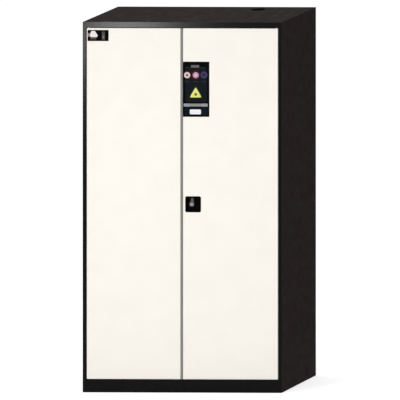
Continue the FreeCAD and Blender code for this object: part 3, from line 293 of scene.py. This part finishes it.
gearSteelLook = {
    "light": (0.36, 0.355, 0.35), "dark": (0.22, 0.215, 0.21),
    "streaksPerMetre": 2600, "stretch": (1, 1, 1), "streakDepth": 0.00003,
    "tarnish": (0.10, 0.075, 0.04), "tarnishAmount": 0.5,
    "rough": (0.34, 0.55),
}


# Plastics and rubber

blackPlasticLook = {
    "colour": (0.0012, 0.0010, 0.0009), "worn": (0.004, 0.0036, 0.0033),
    "rough": (0.42, 0.58), "specular": 0.015,
    "grainPerMetre": 1500, "grainDepth": 0.00003,
}

nylonLook = {
    "colour": (0.010, 0.0095, 0.009), "worn": (0.030, 0.028, 0.026),
    "rough": (0.40, 0.55), "specular": 0.10,
    "grainPerMetre": 900, "grainDepth": 0.00002,
}

magnetCaseLook = {
    "colour": (0.56, 0.56, 0.54), "worn": (0.38, 0.37, 0.35),
    "rough": (0.38, 0.55), "specular": 0.45,
    "grainPerMetre": 1300, "grainDepth": 0.00003,
}

rubberLook = {
    "colour": (0.018, 0.018, 0.018), "worn": (0.07, 0.068, 0.064),
    "rough": (0.72, 0.9), "specular": 0.3,
    "grainPerMetre": 700, "grainDepth": 0.00005,
}

stripRubberLook = {
    "colour": (0.240, 0.240, 0.225), "worn": (0.30, 0.30, 0.28),
    "rough": (0.62, 0.8), "specular": 0.10,
    "grainPerMetre": 900, "grainDepth": 0.00003,
}


def mouldedPlastic(name, look):
    # pebbled mould grain, paler where it is handled
    finish, tree, shader = newFinish(name)
    wear = spread(tree, noise(tree, 70, detail=6, rough=0.7), 0, 0.55, 0.5, 0.75)
    tree.links.new(mixColours(tree, wear, look["colour"], look["worn"]), shader.inputs["Base Color"])
    low, high = look["rough"]
    tree.links.new(spread(tree, noise(tree, 120, detail=4), low, high), shader.inputs["Roughness"])
    shader.inputs["Specular IOR Level"].default_value = look["specular"]
    addBumps(tree, shader, [
        (noise(tree, 30, detail=2), 0.0001),
        (cells(tree, look["grainPerMetre"]), look["grainDepth"]),
    ])
    return finish


# Printed film of the sign panel and the small plate

signFilmLook = {
    "colour": (0.0006, 0.0008, 0.0012), "faded": (0.0022, 0.0028, 0.0038),
    "rough": (0.42, 0.55), "specular": 0.012,
}

badgeFilmLook = {
    "colour": (0.0006, 0.0005, 0.0004), "faded": (0.0022, 0.0018, 0.0015),
    "rough": (0.42, 0.55), "specular": 0.010,
}


def printedFilm(name, look):
    # ink on film: a fine dot screen, slow fading and shallow bubbles under the film
    finish, tree, shader = newFinish(name)
    dots = spread(tree, cells(tree, 1400), 0, 0.25, 0.1, 0.5)
    fading = combine(tree, dots, spread(tree, noise(tree, 16, detail=4), 0, 0.75), "ADD")
    tree.links.new(mixColours(tree, fading, look["colour"], look["faded"]), shader.inputs["Base Color"])
    low, high = look["rough"]
    tree.links.new(spread(tree, noise(tree, 50, detail=4), low, high), shader.inputs["Roughness"])
    shader.inputs["Specular IOR Level"].default_value = look["specular"]
    addBumps(tree, shader, [(noise(tree, 22, detail=1), 0.0002), (noise(tree, 900, detail=2), 0.00001)])
    return finish


def ink(name, colour, rough=(0.42, 0.55), specular=0.02):
    return printedFilm(name, {
        "colour": colour, "faded": shade(colour, 0.86), "rough": rough, "specular": specular})


finishes = {
    "doorCoat": powderCoat("doorCoat", doorCoatLook),
    "carcassCoat": powderCoat("carcassCoat", carcassCoatLook),
    "innerCoat": powderCoat("innerCoat", innerCoatLook),
    "galvanised": galvanisedSheet("galvanised", galvanisedLook),
    "zincPlate": brushedMetal("zincPlate", zincPlateLook),
    "leverMetal": brushedMetal("leverMetal", leverLook),
    "cylinderMetal": brushedMetal("cylinderMetal", cylinderLook),
    "gearSteel": brushedMetal("gearSteel", gearSteelLook),
    "blackPlastic": mouldedPlastic("blackPlastic", blackPlasticLook),
    "nylon": mouldedPlastic("nylon", nylonLook),
    "magnetCase": mouldedPlastic("magnetCase", magnetCaseLook),
    "rubber": mouldedPlastic("rubber", rubberLook),
    "stripRubber": mouldedPlastic("stripRubber", stripRubberLook),
    "signFilm": printedFilm("signFilm", signFilmLook),
    "badgeFilm": printedFilm("badgeFilm", badgeFilmLook),
}

nodeFinishes = {
    "doorCoat": ["left_door_skin", "left_door_liner", "right_door_skin", "right_door_liner"],
    "carcassCoat": ["side_panel_left", "side_panel_right", "rear_panel", "roof_panel", "plinth_rear",
                    "plinth_front", "door_jamb_left", "door_jamb_right", "exhaust_collar", "floor_pan",
                    "top_rail"],
    "innerCoat": ["tray_shelf_1", "tray_shelf_2", "tray_shelf_3", "tray_shelf_4",
                  "air_duct", "air_plenum"],
    "galvanised": ["base_rail_left", "base_rail_right", "shelf_post_front_left", "shelf_post_front_right",
                   "shelf_post_rear_left", "shelf_post_rear_right", "sump_tray", "sump_grid",
                   "left_door_stiffener", "right_door_stiffener"],
    "zincPlate": ["levelling_feet", "shelf_clips", "rod_keepers", "left_door_strikes", "right_door_strikes",
                  "left_pivot_pins", "right_pivot_pins", "catch_bracket", "lock_base", "lock_case",
                  "lock_tongue", "spindle", "spindle_nut", "upper_rod", "lower_rod"],
    "gearSteel": ["drive_gear"],
    "leverMetal": ["lever_handle"],
    "cylinderMetal": ["lock_cylinder"],
    "blackPlastic": ["handle_dish", "rod_guides"],
    "nylon": ["pivot_bushes"],
    "magnetCase": ["magnet_catches"],
    "rubber": ["door_buffers"],
    "stripRubber": ["meeting_strip"],
    "signFilm": ["sign_panel"],
    "badgeFilm": ["badge_plate"],
}

for finishName, nodeNames in nodeFinishes.items():
    for nodeName in nodeNames:
        sheet = nodes[nodeName].data
        sheet.materials.clear()
        sheet.materials.append(finishes[finishName])
print("finishes made:", len(finishes))


# Mesh helpers

def keepPiece(name, shape, finish, body):
    # turns a finished bmesh into a piece that rides on a CAD body
    bmesh.ops.recalc_face_normals(shape, faces=shape.faces)
    mesh = bpy.data.meshes.new(name)
    shape.to_mesh(mesh)
    shape.free()
    mesh.materials.append(finish)
    piece = bpy.data.objects.new(name, mesh)
    bpy.context.scene.collection.objects.link(piece)
    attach(piece, body)
    return piece


def turnProfile(shape, profile, place, facing, steps=20, lobes=0.0):
    # rings round the facing axis; profile holds (radius, height, lobed or not) from foot to crown
    swing = Vector((0, 0, 1)).rotation_difference(Vector(facing)).to_matrix()
    rings = []
    for radius, height, lobed in profile:
        ring = []
        for step in range(steps):
            angle = 2 * math.pi * step / steps
            reach = radius * (1 + (lobes * math.cos(6 * angle) if lobed else 0))
            spot = Vector((reach * math.cos(angle), reach * math.sin(angle), height))
            ring.append(shape.verts.new(Vector(place) + swing @ spot))
        rings.append(ring)
    for low, high in zip(rings, rings[1:]):
        for step in range(steps):
            following = (step + 1) % steps
            face = shape.faces.new((low[step], low[following], high[following], high[step]))
            face.smooth = True
    shape.faces.new(rings[-1])
    shape.faces.new(list(reversed(rings[0])))


def layFlat(shape, outline, front, thickness):
    # a thin plate in the plane of the doors: outline holds (x, z), front is the y of its face
    face = [shape.verts.new((x, front, z)) for x, z in outline]
    back = [shape.verts.new((x, front + thickness, z)) for x, z in outline]
    shape.faces.new(face)
    shape.faces.new(list(reversed(back)))
    count = len(outline)
    for index in range(count):
        following = (index + 1) % count
        shape.faces.new((face[index], back[index], back[following], face[following]))


def roundedOutline(corners, radius, steps=6):
    # rounds each corner of a convex outline with an arc between its two edges
    outline = []
    count = len(corners)
    for index in range(count):
        corner = Vector(corners[index])
        before = (Vector(corners[index - 1]) - corner).normalized()
        after = (Vector(corners[(index + 1) % count]) - corner).normalized()
        half = before.angle(after) / 2
        centre = corner + (before + after).normalized() * (radius / math.sin(half))
        start = corner + before * (radius / math.tan(half)) - centre
        finish = corner + after * (radius / math.tan(half)) - centre
        for step in range(steps + 1):
            spoke = start.lerp(finish, step / steps).normalized() * radius
            outline.append(tuple(centre + spoke))
    return outline


def discOutline(middle, radius, steps=40):
    return [(middle[0] + radius * math.cos(2 * math.pi * step / steps),
             middle[1] + radius * math.sin(2 * math.pi * step / steps)) for step in range(steps)]


def boxOutline(middle, width, height):
    x, z = middle
    return [(x - width / 2, z - height / 2), (x + width / 2, z - height / 2),
            (x + width / 2, z + height / 2), (x - width / 2, z + height / 2)]


# Sign panel: plain shapes in the colours and sizes of the printed signs, and nothing to read

signLook = {
    "filmLayer": 0.00008,
    "upperField": {"span": (0.270, 0.880), "edge": 0.012, "corner": 0.002, "level": 1,
                   "colour": (0.0075, 0.0105, 0.0135)},
    "lowerField": {"span": (0.030, 0.175), "edge": 0.008, "corner": 0.002, "level": 2,
                   "colour": (0.0045, 0.0085, 0.0130)},
    "titleLine": {"middle": (0.475, 0.893), "size": (0.108, 0.0065), "level": 2,
                  "colour": (0.021, 0.021, 0.021)},
    "titleBar": {"middle": (0.458, 0.917), "size": (0.043, 0.0130), "level": 3,
                 "colour": (0.150, 0.150, 0.138)},
    "captions": {"level": 0.640, "size": (0.028, 0.0075), "colour": (0.021, 0.022, 0.026)},
    "discs": [
        {"middle": (0.158, 0.757), "radius": 0.0195, "rim": (0.075, 0.010, 0.014), "rimShare": 0.82,
         "face": (0.80, 0.66, 0.62), "heart": (0.15, 0.10, 0.095), "heartShare": 0.34},
        {"middle": (0.484, 0.757), "radius": 0.0255, "rim": (0.060, 0.006, 0.012), "rimShare": 0.64,
         "face": (0.50, 0.31, 0.39), "heart": (0.70, 0.54, 0.61), "heartShare": 0.34},
        {"middle": (0.797, 0.762), "radius": 0.0205, "rim": (0.022, 0.019, 0.050), "rimShare": 0.86,
         "face": (0.058, 0.052, 0.125), "heart": (0.032, 0.028, 0.072), "heartShare": 0.42},
    ],
    "triangle": {"apex": (0.484, 0.541), "base": ((0.252, 0.352), (0.712, 0.352)), "corner": 0.005,
                 "rim": (0.030, 0.030, 0.003), "face": (0.80, 0.82, 0.235),
                 "rimWidth": 0.0050, "reach": 0.018,  # the reach is from the middle to an edge
                 "heart": (0.15, 0.15, 0.030), "heartLevel": 0.408, "heartRadius": 0.0076},
    "boxes": {
        "bandLeft": {"middle": (0.143, 0.214), "size": (0.0335, 0.0160), "corner": 0.002,
                     "colour": (0.33, 0.345, 0.39)},
        "bandMiddle": {"middle": (0.480, 0.214), "size": (0.0600, 0.0150), "corner": 0.001,
                       "colour": (0.28, 0.275, 0.26)},
        "bandRight": {"middle": (0.817, 0.214), "size": (0.0335, 0.0160), "corner": 0.002,
                      "colour": (0.32, 0.335, 0.385)},
        "whiteBox": {"middle": (0.470, 0.090), "size": (0.059, 0.0258), "corner": 0.005,
                     "colour": (0.93, 0.93, 0.97)},
    },
}


def makeSignPrint():
    low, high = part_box("sign_panel")
    width, height = high.x - low.x, high.z - low.z
    layer = signLook["filmLayer"]

    def spot(share):
        return (low.x + share[0] * width, low.z + share[1] * height)

    def printPiece(name, outline, colour, level):
        shape = bmesh.new()
        layFlat(shape, outline, low.y - layer * level, layer)
        keepPiece(name, shape, ink(name + "Ink", colour), "right_door")

    for name in ("upperField", "lowerField"):
        field = signLook[name]
        bottom, top = (low.z + share * height for share in field["span"])
        middle = ((low.x + high.x) / 2, (bottom + top) / 2)
        outline = boxOutline(middle, width - 2 * field["edge"], top - bottom)
        printPiece("sign" + name[0].upper() + name[1:], roundedOutline(outline, field["corner"]),
                   field["colour"], field["level"])
    for name in ("titleLine", "titleBar"):
        bar = signLook[name]
        printPiece("sign" + name[0].upper() + name[1:], boxOutline(spot(bar["middle"]), *bar["size"]),
                   bar["colour"], bar["level"])
    caption = signLook["captions"]
    for number, disc in enumerate(signLook["discs"], start=1):
        middle, radius = spot(disc["middle"]), disc["radius"]
        below = spot((disc["middle"][0], caption["level"]))
        printPiece(f"signCaption{number}", boxOutline(below, *caption["size"]), caption["colour"], 2)
        printPiece(f"signDisc{number}Rim", discOutline(middle, radius), disc["rim"], 2)
        printPiece(f"signDisc{number}Face", discOutline(middle, radius * disc["rimShare"]), disc["face"], 3)
        printPiece(f"signDisc{number}Heart", discOutline(middle, radius * disc["heartShare"]),
                   disc["heart"], 4)
    plate = signLook["triangle"]
    corners = [spot(plate["base"][0]), spot(plate["base"][1]), spot(plate["apex"])]
    centre = sum((Vector(corner) for corner in corners), Vector((0, 0))) / 3
    grow = 1 + plate["rimWidth"] / plate["reach"]
    outer = [tuple(centre + (Vector(corner) - centre) * grow) for corner in corners]
    printPiece("signTriangleRim", roundedOutline(outer, plate["corner"]), plate["rim"], 2)
    printPiece("signTriangleFace", roundedOutline(corners, plate["corner"]), plate["face"], 3)
    heart = spot((plate["apex"][0], plate["heartLevel"]))
    printPiece("signTriangleHeart", discOutline(heart, plate["heartRadius"], 24), plate["heart"], 4)
    for name, field in signLook["boxes"].items():
        outline = roundedOutline(boxOutline(spot(field["middle"]), *field["size"]), field["corner"])
        printPiece("sign" + name[0].upper() + name[1:], outline, field["colour"], 3)


# Small plate at the top of the left door: a pale rounded shape with a dim wing and bar,
# and a grey bar beside it

badgeLook = {
    "filmLayer": 0.00004,  # the open door passes close in front of the side wall
    "markCorners": [(0.085, 0.360), (0.545, 0.360), (0.345, 0.925), (0.175, 0.925)], "markCorner": 0.0080,
    "markColour": (0.93, 0.87, 0.87),
    "bars": [
        {"name": "badgeWing", "middle": (0.062, 0.565), "size": (0.0100, 0.0190), "level": 1,
         "colour": (0.33, 0.275, 0.275)},
        {"name": "badgeLowBar", "middle": (0.275, 0.255), "size": (0.031, 0.0120), "level": 1,
         "colour": (0.110, 0.082, 0.082)},
        {"name": "badgeSideBar", "middle": (0.755, 0.490), "size": (0.0160, 0.0440), "level": 1,
         "colour": (0.080, 0.077, 0.068)},
        {"name": "badgeSideSpot", "middle": (0.752, 0.380), "size": (0.0090, 0.0160), "level": 2,
         "colour": (0.200, 0.195, 0.180)},
    ],
    "barCorner": 0.002,
    "cornerPatch": {"size": (0.0105, 0.0115), "inset": 0.0035, "corner": 0.003,
                    "colour": (0.018, 0.002, 0.005)},
}


def makeBadgePrint():
    low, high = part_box("badge_plate")
    width, height = high.x - low.x, high.z - low.z
    layer = badgeLook["filmLayer"]

    def spot(share):
        return (low.x + share[0] * width, low.z + share[1] * height)

    def printPiece(name, outline, colour, level):
        shape = bmesh.new()
        layFlat(shape, outline, low.y - layer * level, layer)
        keepPiece(name, shape, ink(name + "Ink", colour), "left_door")

    corners = [spot(corner) for corner in badgeLook["markCorners"]]
    printPiece("badgeMark", roundedOutline(corners, badgeLook["markCorner"]), badgeLook["markColour"], 2)
    for bar in badgeLook["bars"]:
        outline = boxOutline(spot(bar["middle"]), *bar["size"])
        printPiece(bar["name"], roundedOutline(outline, badgeLook["barCorner"]), bar["colour"], bar["level"])
    patch = badgeLook["cornerPatch"]
    reach = patch["inset"] + patch["size"][0] / 2, patch["inset"] + patch["size"][1] / 2
    for name, level in (("Upper", high.z - reach[1]), ("Lower", low.z + reach[1])):
        outline = boxOutline((low.x + reach[0], level), *patch["size"])
        printPiece(f"badge{name}Patch", roundedOutline(outline, patch["corner"]), patch["colour"], 1)


makeSignPrint()
makeBadgePrint()
print("plates printed with plain shapes")


# Rivets and screws

rivetLook = {"radius": 0.0034, "height": 0.0011}
screwLook = {"radius": 0.0042, "height": 0.0024, "socket": 0.0017, "lobes": 0.16}
# each rivet and screw starts this far inside the sheet it sits on
fastenerSink = 0.0002


def addRivet(shape, place, facing, scale):
    radius, height = rivetLook["radius"] * scale, rivetLook["height"] * scale
    turnProfile(shape, [
        (radius, -fastenerSink, False), (radius, 0.1 * height, False), (radius * 0.92, 0.5 * height, False),
        (radius * 0.70, 0.85 * height, False), (radius * 0.36, height, False),
        (radius * 0.28, 0.7 * height, False),
    ], place, facing, steps=16)


def addScrew(shape, place, facing, scale):
    radius, height, socket = (screwLook[part] * scale for part in ("radius", "height", "socket"))
    turnProfile(shape, [
        (radius, -fastenerSink, False), (radius, 0.45 * height, False), (radius * 0.90, 0.80 * height, False),
        (radius * 0.66, height, False), (socket * 1.1, height, True), (socket, 0.94 * height, True),
        (socket * 0.9, 0.30 * height, True),
    ], place, facing, steps=24, lobes=screwLook["lobes"])


def fastenAll(name, adder, places, facing, finish, body, scale=1.0):
    shape = bmesh.new()
    for place in places:
        adder(shape, place, facing, scale)
    keepPiece(name, shape, finish, body)


def pieceBoxes(nodeName):
    # the box of each separate piece of one CAD part
    shape = bmesh.new()
    shape.from_mesh(nodes[nodeName].data)
    bmesh.ops.remove_doubles(shape, verts=shape.verts, dist=0.00001)
    boxes, seen = [], set()
    for start in shape.verts:
        if start in seen:
            continue
        seen.add(start)
        piece = [start]
        for vert in piece:
            fresh = [edge.other_vert(vert) for edge in vert.link_edges if edge.other_vert(vert) not in seen]
            seen.update(fresh)
            piece.extend(fresh)
        spots = [vert.co.copy() for vert in piece]
        boxes.append((Vector(map(min, *spots)), Vector(map(max, *spots))))
    shape.free()
    return boxes


def stepsBetween(start, end, count):
    return [start + (end - start) * index / (count - 1) for index in range(count)]


ductRivetLook = {"inset": 0.006, "margin": 0.04, "count": 9, "flange": 0.0012}


def ductRivetPlaces(face):
    # the same row down each flange of the duct, on the side where the face is
    low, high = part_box("air_duct")
    look = ductRivetLook
    levels = stepsBetween(low.z + look["margin"], high.z - look["margin"], look["count"])
    return [(x, face, level) for x in (low.x + look["inset"], high.x - look["inset"]) for level in levels]


def makeRearRivets():
    # the heads of the rivets that hold the air duct, on the outside of the rear panel
    places = ductRivetPlaces(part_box("rear_panel")[1].y)
    fastenAll("rearRivets", addRivet, places, (0, 1, 0), finishes["carcassCoat"], "cabinet")


def makeDuctRivets():
    places = ductRivetPlaces(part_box("air_duct")[1].y - ductRivetLook["flange"])
    fastenAll("ductRivets", addRivet, places, (0, -1, 0), finishes["zincPlate"], "cabinet")


postScrewLook = {"endInset": 0.018, "middleRise": 0.035}  # the middle screw sits clear of the slots


def makePostScrews():
    for side, wing in ((-1, "left"), (1, "right")):
        for row in ("front", "rear"):
            low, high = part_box(f"shelf_post_{row}_{wing}")
            face = high.x if side < 0 else low.x
            middle = (low.y + high.y) / 2
            places = [(face, middle, level) for level in (
                low.z + postScrewLook["endInset"],
                (low.z + high.z) / 2 + postScrewLook["middleRise"],
                high.z - postScrewLook["endInset"])]
            fastenAll(f"postScrews{row.title()}{wing.title()}", addScrew, places, (-side, 0, 0),
                      finishes["zincPlate"], "cabinet")


lockScrewLook = {"flange": 0.0015, "sideInset": 0.006, "endInset": 0.012}
catchScrewLook = {"foot": 0.002, "inset": 0.007}


def makeLockScrews():
    low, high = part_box("lock_base")
    look = lockScrewLook
    places = [(x, high.y + look["flange"], z) for x in (low.x + look["sideInset"], high.x - look["sideInset"])
              for z in (low.z + look["endInset"], high.z - look["endInset"])]
    fastenAll("lockCaseScrews", addScrew, places, (0, 1, 0), finishes["zincPlate"],
              "right_door")
    low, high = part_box("catch_bracket")
    look = catchScrewLook
    places = [(x, low.y + look["foot"], low.z + look["inset"])
              for x in (low.x + look["inset"], high.x - look["inset"])]
    fastenAll("catchScrews", addScrew, places, (0, 1, 0), finishes["zincPlate"], "left_door")


strikeRivetLook = {"sideInset": 0.006, "endInset": 0.0215}


def makeStrikeRivets():
    look = strikeRivetLook
    for door in ("left", "right"):
        low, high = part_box(f"{door}_door_strikes")
        places = [(x, high.y, z) for x in (low.x + look["sideInset"], high.x - look["sideInset"])
                  for z in (low.z + look["endInset"], high.z - look["endInset"])]
        fastenAll(f"{door}StrikeRivets", addRivet, places, (0, 1, 0), finishes["zincPlate"],
                  f"{door}_door")


guideScrewLook = {"inset": 0.0026, "scale": 0.45}


def makeGuideScrews():
    # two screws through the foot of each guide, beside the rod's run
    places = [(x, high.y, (low.z + high.z) / 2) for low, high in pieceBoxes("rod_guides")
              for x in (low.x + guideScrewLook["inset"], high.x - guideScrewLook["inset"])]
    fastenAll("guideScrews", addScrew, places, (0, 1, 0), finishes["zincPlate"], "right_door",
              guideScrewLook["scale"])


magnetPlateLook = {"apart": 0.008, "inset": 0.008, "thickness": 0.002, "corner": 0.0005,
                   "stand": 0.00015, "depth": 0.004}


def makeMagnetPlates():
    # the two steel pole plates that stand out of each magnet's case
    look = magnetPlateLook
    shape = bmesh.new()
    for low, high in pieceBoxes("magnet_catches"):
        middle = (low.z + high.z) / 2
        for level in (middle - look["apart"] / 2, middle + look["apart"] / 2):
            place = ((low.x + high.x) / 2, level)
            outline = boxOutline(place, high.x - low.x - look["inset"], look["thickness"])
            layFlat(shape, roundedOutline(outline, look["corner"], 3), low.y - look["stand"], look["depth"])
    keepPiece("magnetPlates", shape, finishes["gearSteel"], "cabinet")


collarScrewLook = {"inset": 0.008, "drop": 0.0008}


def makeCollarScrews():
    # four rivets hold the collar's flange under the roof
    low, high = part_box("exhaust_collar")
    middle = (low + high) / 2
    reach = (high.x - low.x) / 2 - collarScrewLook["inset"]
    underFlange = high.z - collarScrewLook["drop"]
    places = [(middle.x + reach * math.cos(angle), middle.y + reach * math.sin(angle), underFlange)
              for angle in (math.radians(45 + 90 * step) for step in range(4))]
    fastenAll("collarScrews", addRivet, places, (0, 0, -1), finishes["zincPlate"], "cabinet")


# Threads: one helix of ridges round each stem

footThreadLook = {"ridge": 0.00035, "pitch": 0.0015, "radius": 0.0050, "length": 0.026,
                  "runOut": 0.001, "stepsPerTurn": 12}
spindleThreadLook = {"ridge": 0.00022, "pitch": 0.0010, "radius": 0.0030,
                     "runOut": 0.0001, "stepsPerTurn": 12}


def wind(curve, look, start, axis, length):
    # start is the thread's first point on the stem's centre line
    count = int(length / look["pitch"] * look["stepsPerTurn"])
    swing = Vector((0, 0, 1)).rotation_difference(Vector(axis)).to_matrix()
    thread = curve.splines.new("POLY")
    thread.points.add(count - 1)
    for step in range(count):
        angle = 2 * math.pi * step / look["stepsPerTurn"]
        rise = step / look["stepsPerTurn"] * look["pitch"]
        spot = Vector((look["radius"] * math.cos(angle), look["radius"] * math.sin(angle), rise))
        thread.points[step].co = (*(Vector(start) + swing @ spot), 1)


def makeThreads(name, look, starts, axis, length, body):
    curve = bpy.data.curves.new(name, "CURVE")
    curve.dimensions = "3D"
    curve.bevel_depth = look["ridge"]
    curve.bevel_resolution = 1
    for start in starts:
        wind(curve, look, start, axis, length)
    curve.materials.append(finishes["zincPlate"])
    piece = bpy.data.objects.new(name, curve)
    bpy.context.scene.collection.objects.link(piece)
    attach(piece, body)


def makeFootThreads():
    # round each foot's stem, above its nut
    look = footThreadLook
    starts = []
    for low, high in pieceBoxes("levelling_feet"):
        starts.append(((low.x + high.x) / 2, (low.y + high.y) / 2, high.z - look["length"]))
    makeThreads("footThreads", look, starts, (0, 0, 1), look["length"] - look["runOut"], "cabinet")


def makeSpindleThread():
    # the end of the spindle behind its nut
    low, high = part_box("spindle")
    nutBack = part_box("spindle_nut")[1].y
    middle = (low + high) / 2
    makeThreads("spindleThread", spindleThreadLook, [(middle.x, nutBack, middle.z)], (0, 1, 0),
                high.y - nutBack - spindleThreadLook["runOut"], "handle")


makeRearRivets()
makeDuctRivets()
makePostScrews()
makeLockScrews()
makeStrikeRivets()
makeGuideScrews()
makeMagnetPlates()
makeCollarScrews()
makeFootThreads()
makeSpindleThread()
print("fasteners and threads set")


# Camera: the front is seen square on and the depth runs up to the right, as in the photograph

cameraLook = {
    "frameWidth": 400,
    "metresPerPixel": 0.005264,
    "frontMiddle": (182.0, 207.5),
    "depthShift": (35.3, -16.7),
    "pictureTurn": 0.0196,
    "distance": 85.0,
}


def makeCamera():
    low, high = cadBox
    scale = cameraLook["metresPerPixel"]
    across = (cameraLook["frameWidth"] / 2 - cameraLook["frontMiddle"][0]) * scale
    up = (cameraLook["frontMiddle"][1] - cameraLook["frameWidth"] / 2) * scale
    aim = Vector(((low.x + high.x) / 2 + across, low.y, (low.z + high.z) / 2 + up))
    lens = bpy.data.cameras.new("mainCamera")
    lens.clip_start, lens.clip_end = 1.0, 400.0
    camera = bpy.data.objects.new("mainCamera", lens)
    camera.rotation_euler = (math.radians(90), 0, 0)
    camera.location = aim - Vector((0, cameraLook["distance"], 0))
    # the holder leans the view ray, leaves the front plane as it is and turns the picture a little
    lean = Matrix.Identity(4)
    depth = high.y - low.y
    lean[0][1] = -cameraLook["depthShift"][0] * scale / depth
    lean[2][1] = cameraLook["depthShift"][1] * scale / depth
    lean[1][0] = cameraLook["pictureTurn"]
    slant = Vector((lean[0][1], 1, lean[2][1])).length
    lens.lens = slant * lens.sensor_width * cameraLook["distance"] / (cameraLook["frameWidth"] * scale)
    holder = bpy.data.objects.new("cameraHolder", None)
    for thing in (holder, camera):
        bpy.context.scene.collection.objects.link(thing)
    camera.parent = holder
    camera.matrix_parent_inverse = Matrix.Translation(aim) @ lean @ Matrix.Translation(-aim)
    bpy.context.scene.camera = camera


# Stage: a pale floor, a white surround and soft lamps

stageLook = {
    "floorSize": 400.0,
    "floorColour": (0.80, 0.80, 0.80),
    "floorShown": (0.90, 0.90, 0.90),
    "floorLift": 0.56,
    "surround": 0.52,
    "lamps": [
        {"name": "edgeLamp", "place": (-1.40, -3.3, 1.40), "aim": (-0.3, -0.26, 1.8), "size": 0.32,
         "power": 22},
        {"name": "frontFill", "place": (1.6, -6.0, 0.98), "aim": (0, 0, 0.60), "size": 2.1, "power": 107},
        {"name": "topFill", "place": (-0.6, 0.4, 5.0), "aim": (0, 0, 1.0), "size": 3.0, "power": 40},
    ],
}


def shownMask(tree):
    # 1 for the rays that show the background: seen, mirrored or through glass
    path = tree.nodes.new("ShaderNodeLightPath")
    mirrored = combine(tree, path.outputs["Is Glossy Ray"], path.outputs["Is Transmission Ray"], "ADD")
    return combine(tree, path.outputs["Is Camera Ray"], mirrored, "ADD")


def makeFloor():
    shape = bmesh.new()
    bmesh.ops.create_grid(shape, x_segments=8, y_segments=8, size=stageLook["floorSize"] / 2)
    mesh = bpy.data.meshes.new("floor")
    shape.to_mesh(mesh)
    shape.free()
    floor = bpy.data.objects.new("floor", mesh)
    bpy.context.scene.collection.objects.link(floor)
    finish, tree, shader = newFinish("floorPaint")
    shader.inputs["Specular IOR Level"].default_value = 0.0
    shader.inputs["Roughness"].default_value = 1.0
    shown = shownMask(tree)
    tree.links.new(mixColours(tree, shown, stageLook["floorColour"], stageLook["floorShown"]),
                   shader.inputs["Base Color"])
    shader.inputs["Emission Color"].default_value = (1, 1, 1, 1)
    tree.links.new(combine(tree, shown, stageLook["floorLift"]), shader.inputs["Emission Strength"])
    mesh.materials.append(finish)


def makeSurround():
    world = bpy.data.worlds.new("surround")
    world.use_nodes = True
    tree = world.node_tree
    sky = tree.nodes["Background"]
    sky.inputs["Color"].default_value = (1, 1, 1, 1)
    tree.links.new(spread(tree, shownMask(tree), stageLook["surround"], 1.0, 0, 1), sky.inputs["Strength"])
    bpy.context.scene.world = world


def makeLamps():
    for lamp in stageLook["lamps"]:
        light = bpy.data.lights.new(lamp["name"], "AREA")
        light.shape = "SQUARE"
        light.size = lamp["size"]
        light.energy = lamp["power"]
        holder = bpy.data.objects.new(lamp["name"], light)
        holder.location = lamp["place"]
        gaze = Vector(lamp["aim"]) - Vector(lamp["place"])
        holder.rotation_euler = gaze.to_track_quat("-Z", "Y").to_euler()
        bpy.context.scene.collection.objects.link(holder)


makeCamera()
makeFloor()
makeSurround()
makeLamps()
bpy.context.scene.view_settings.view_transform = "Standard"
print("camera, floor and lamps set")
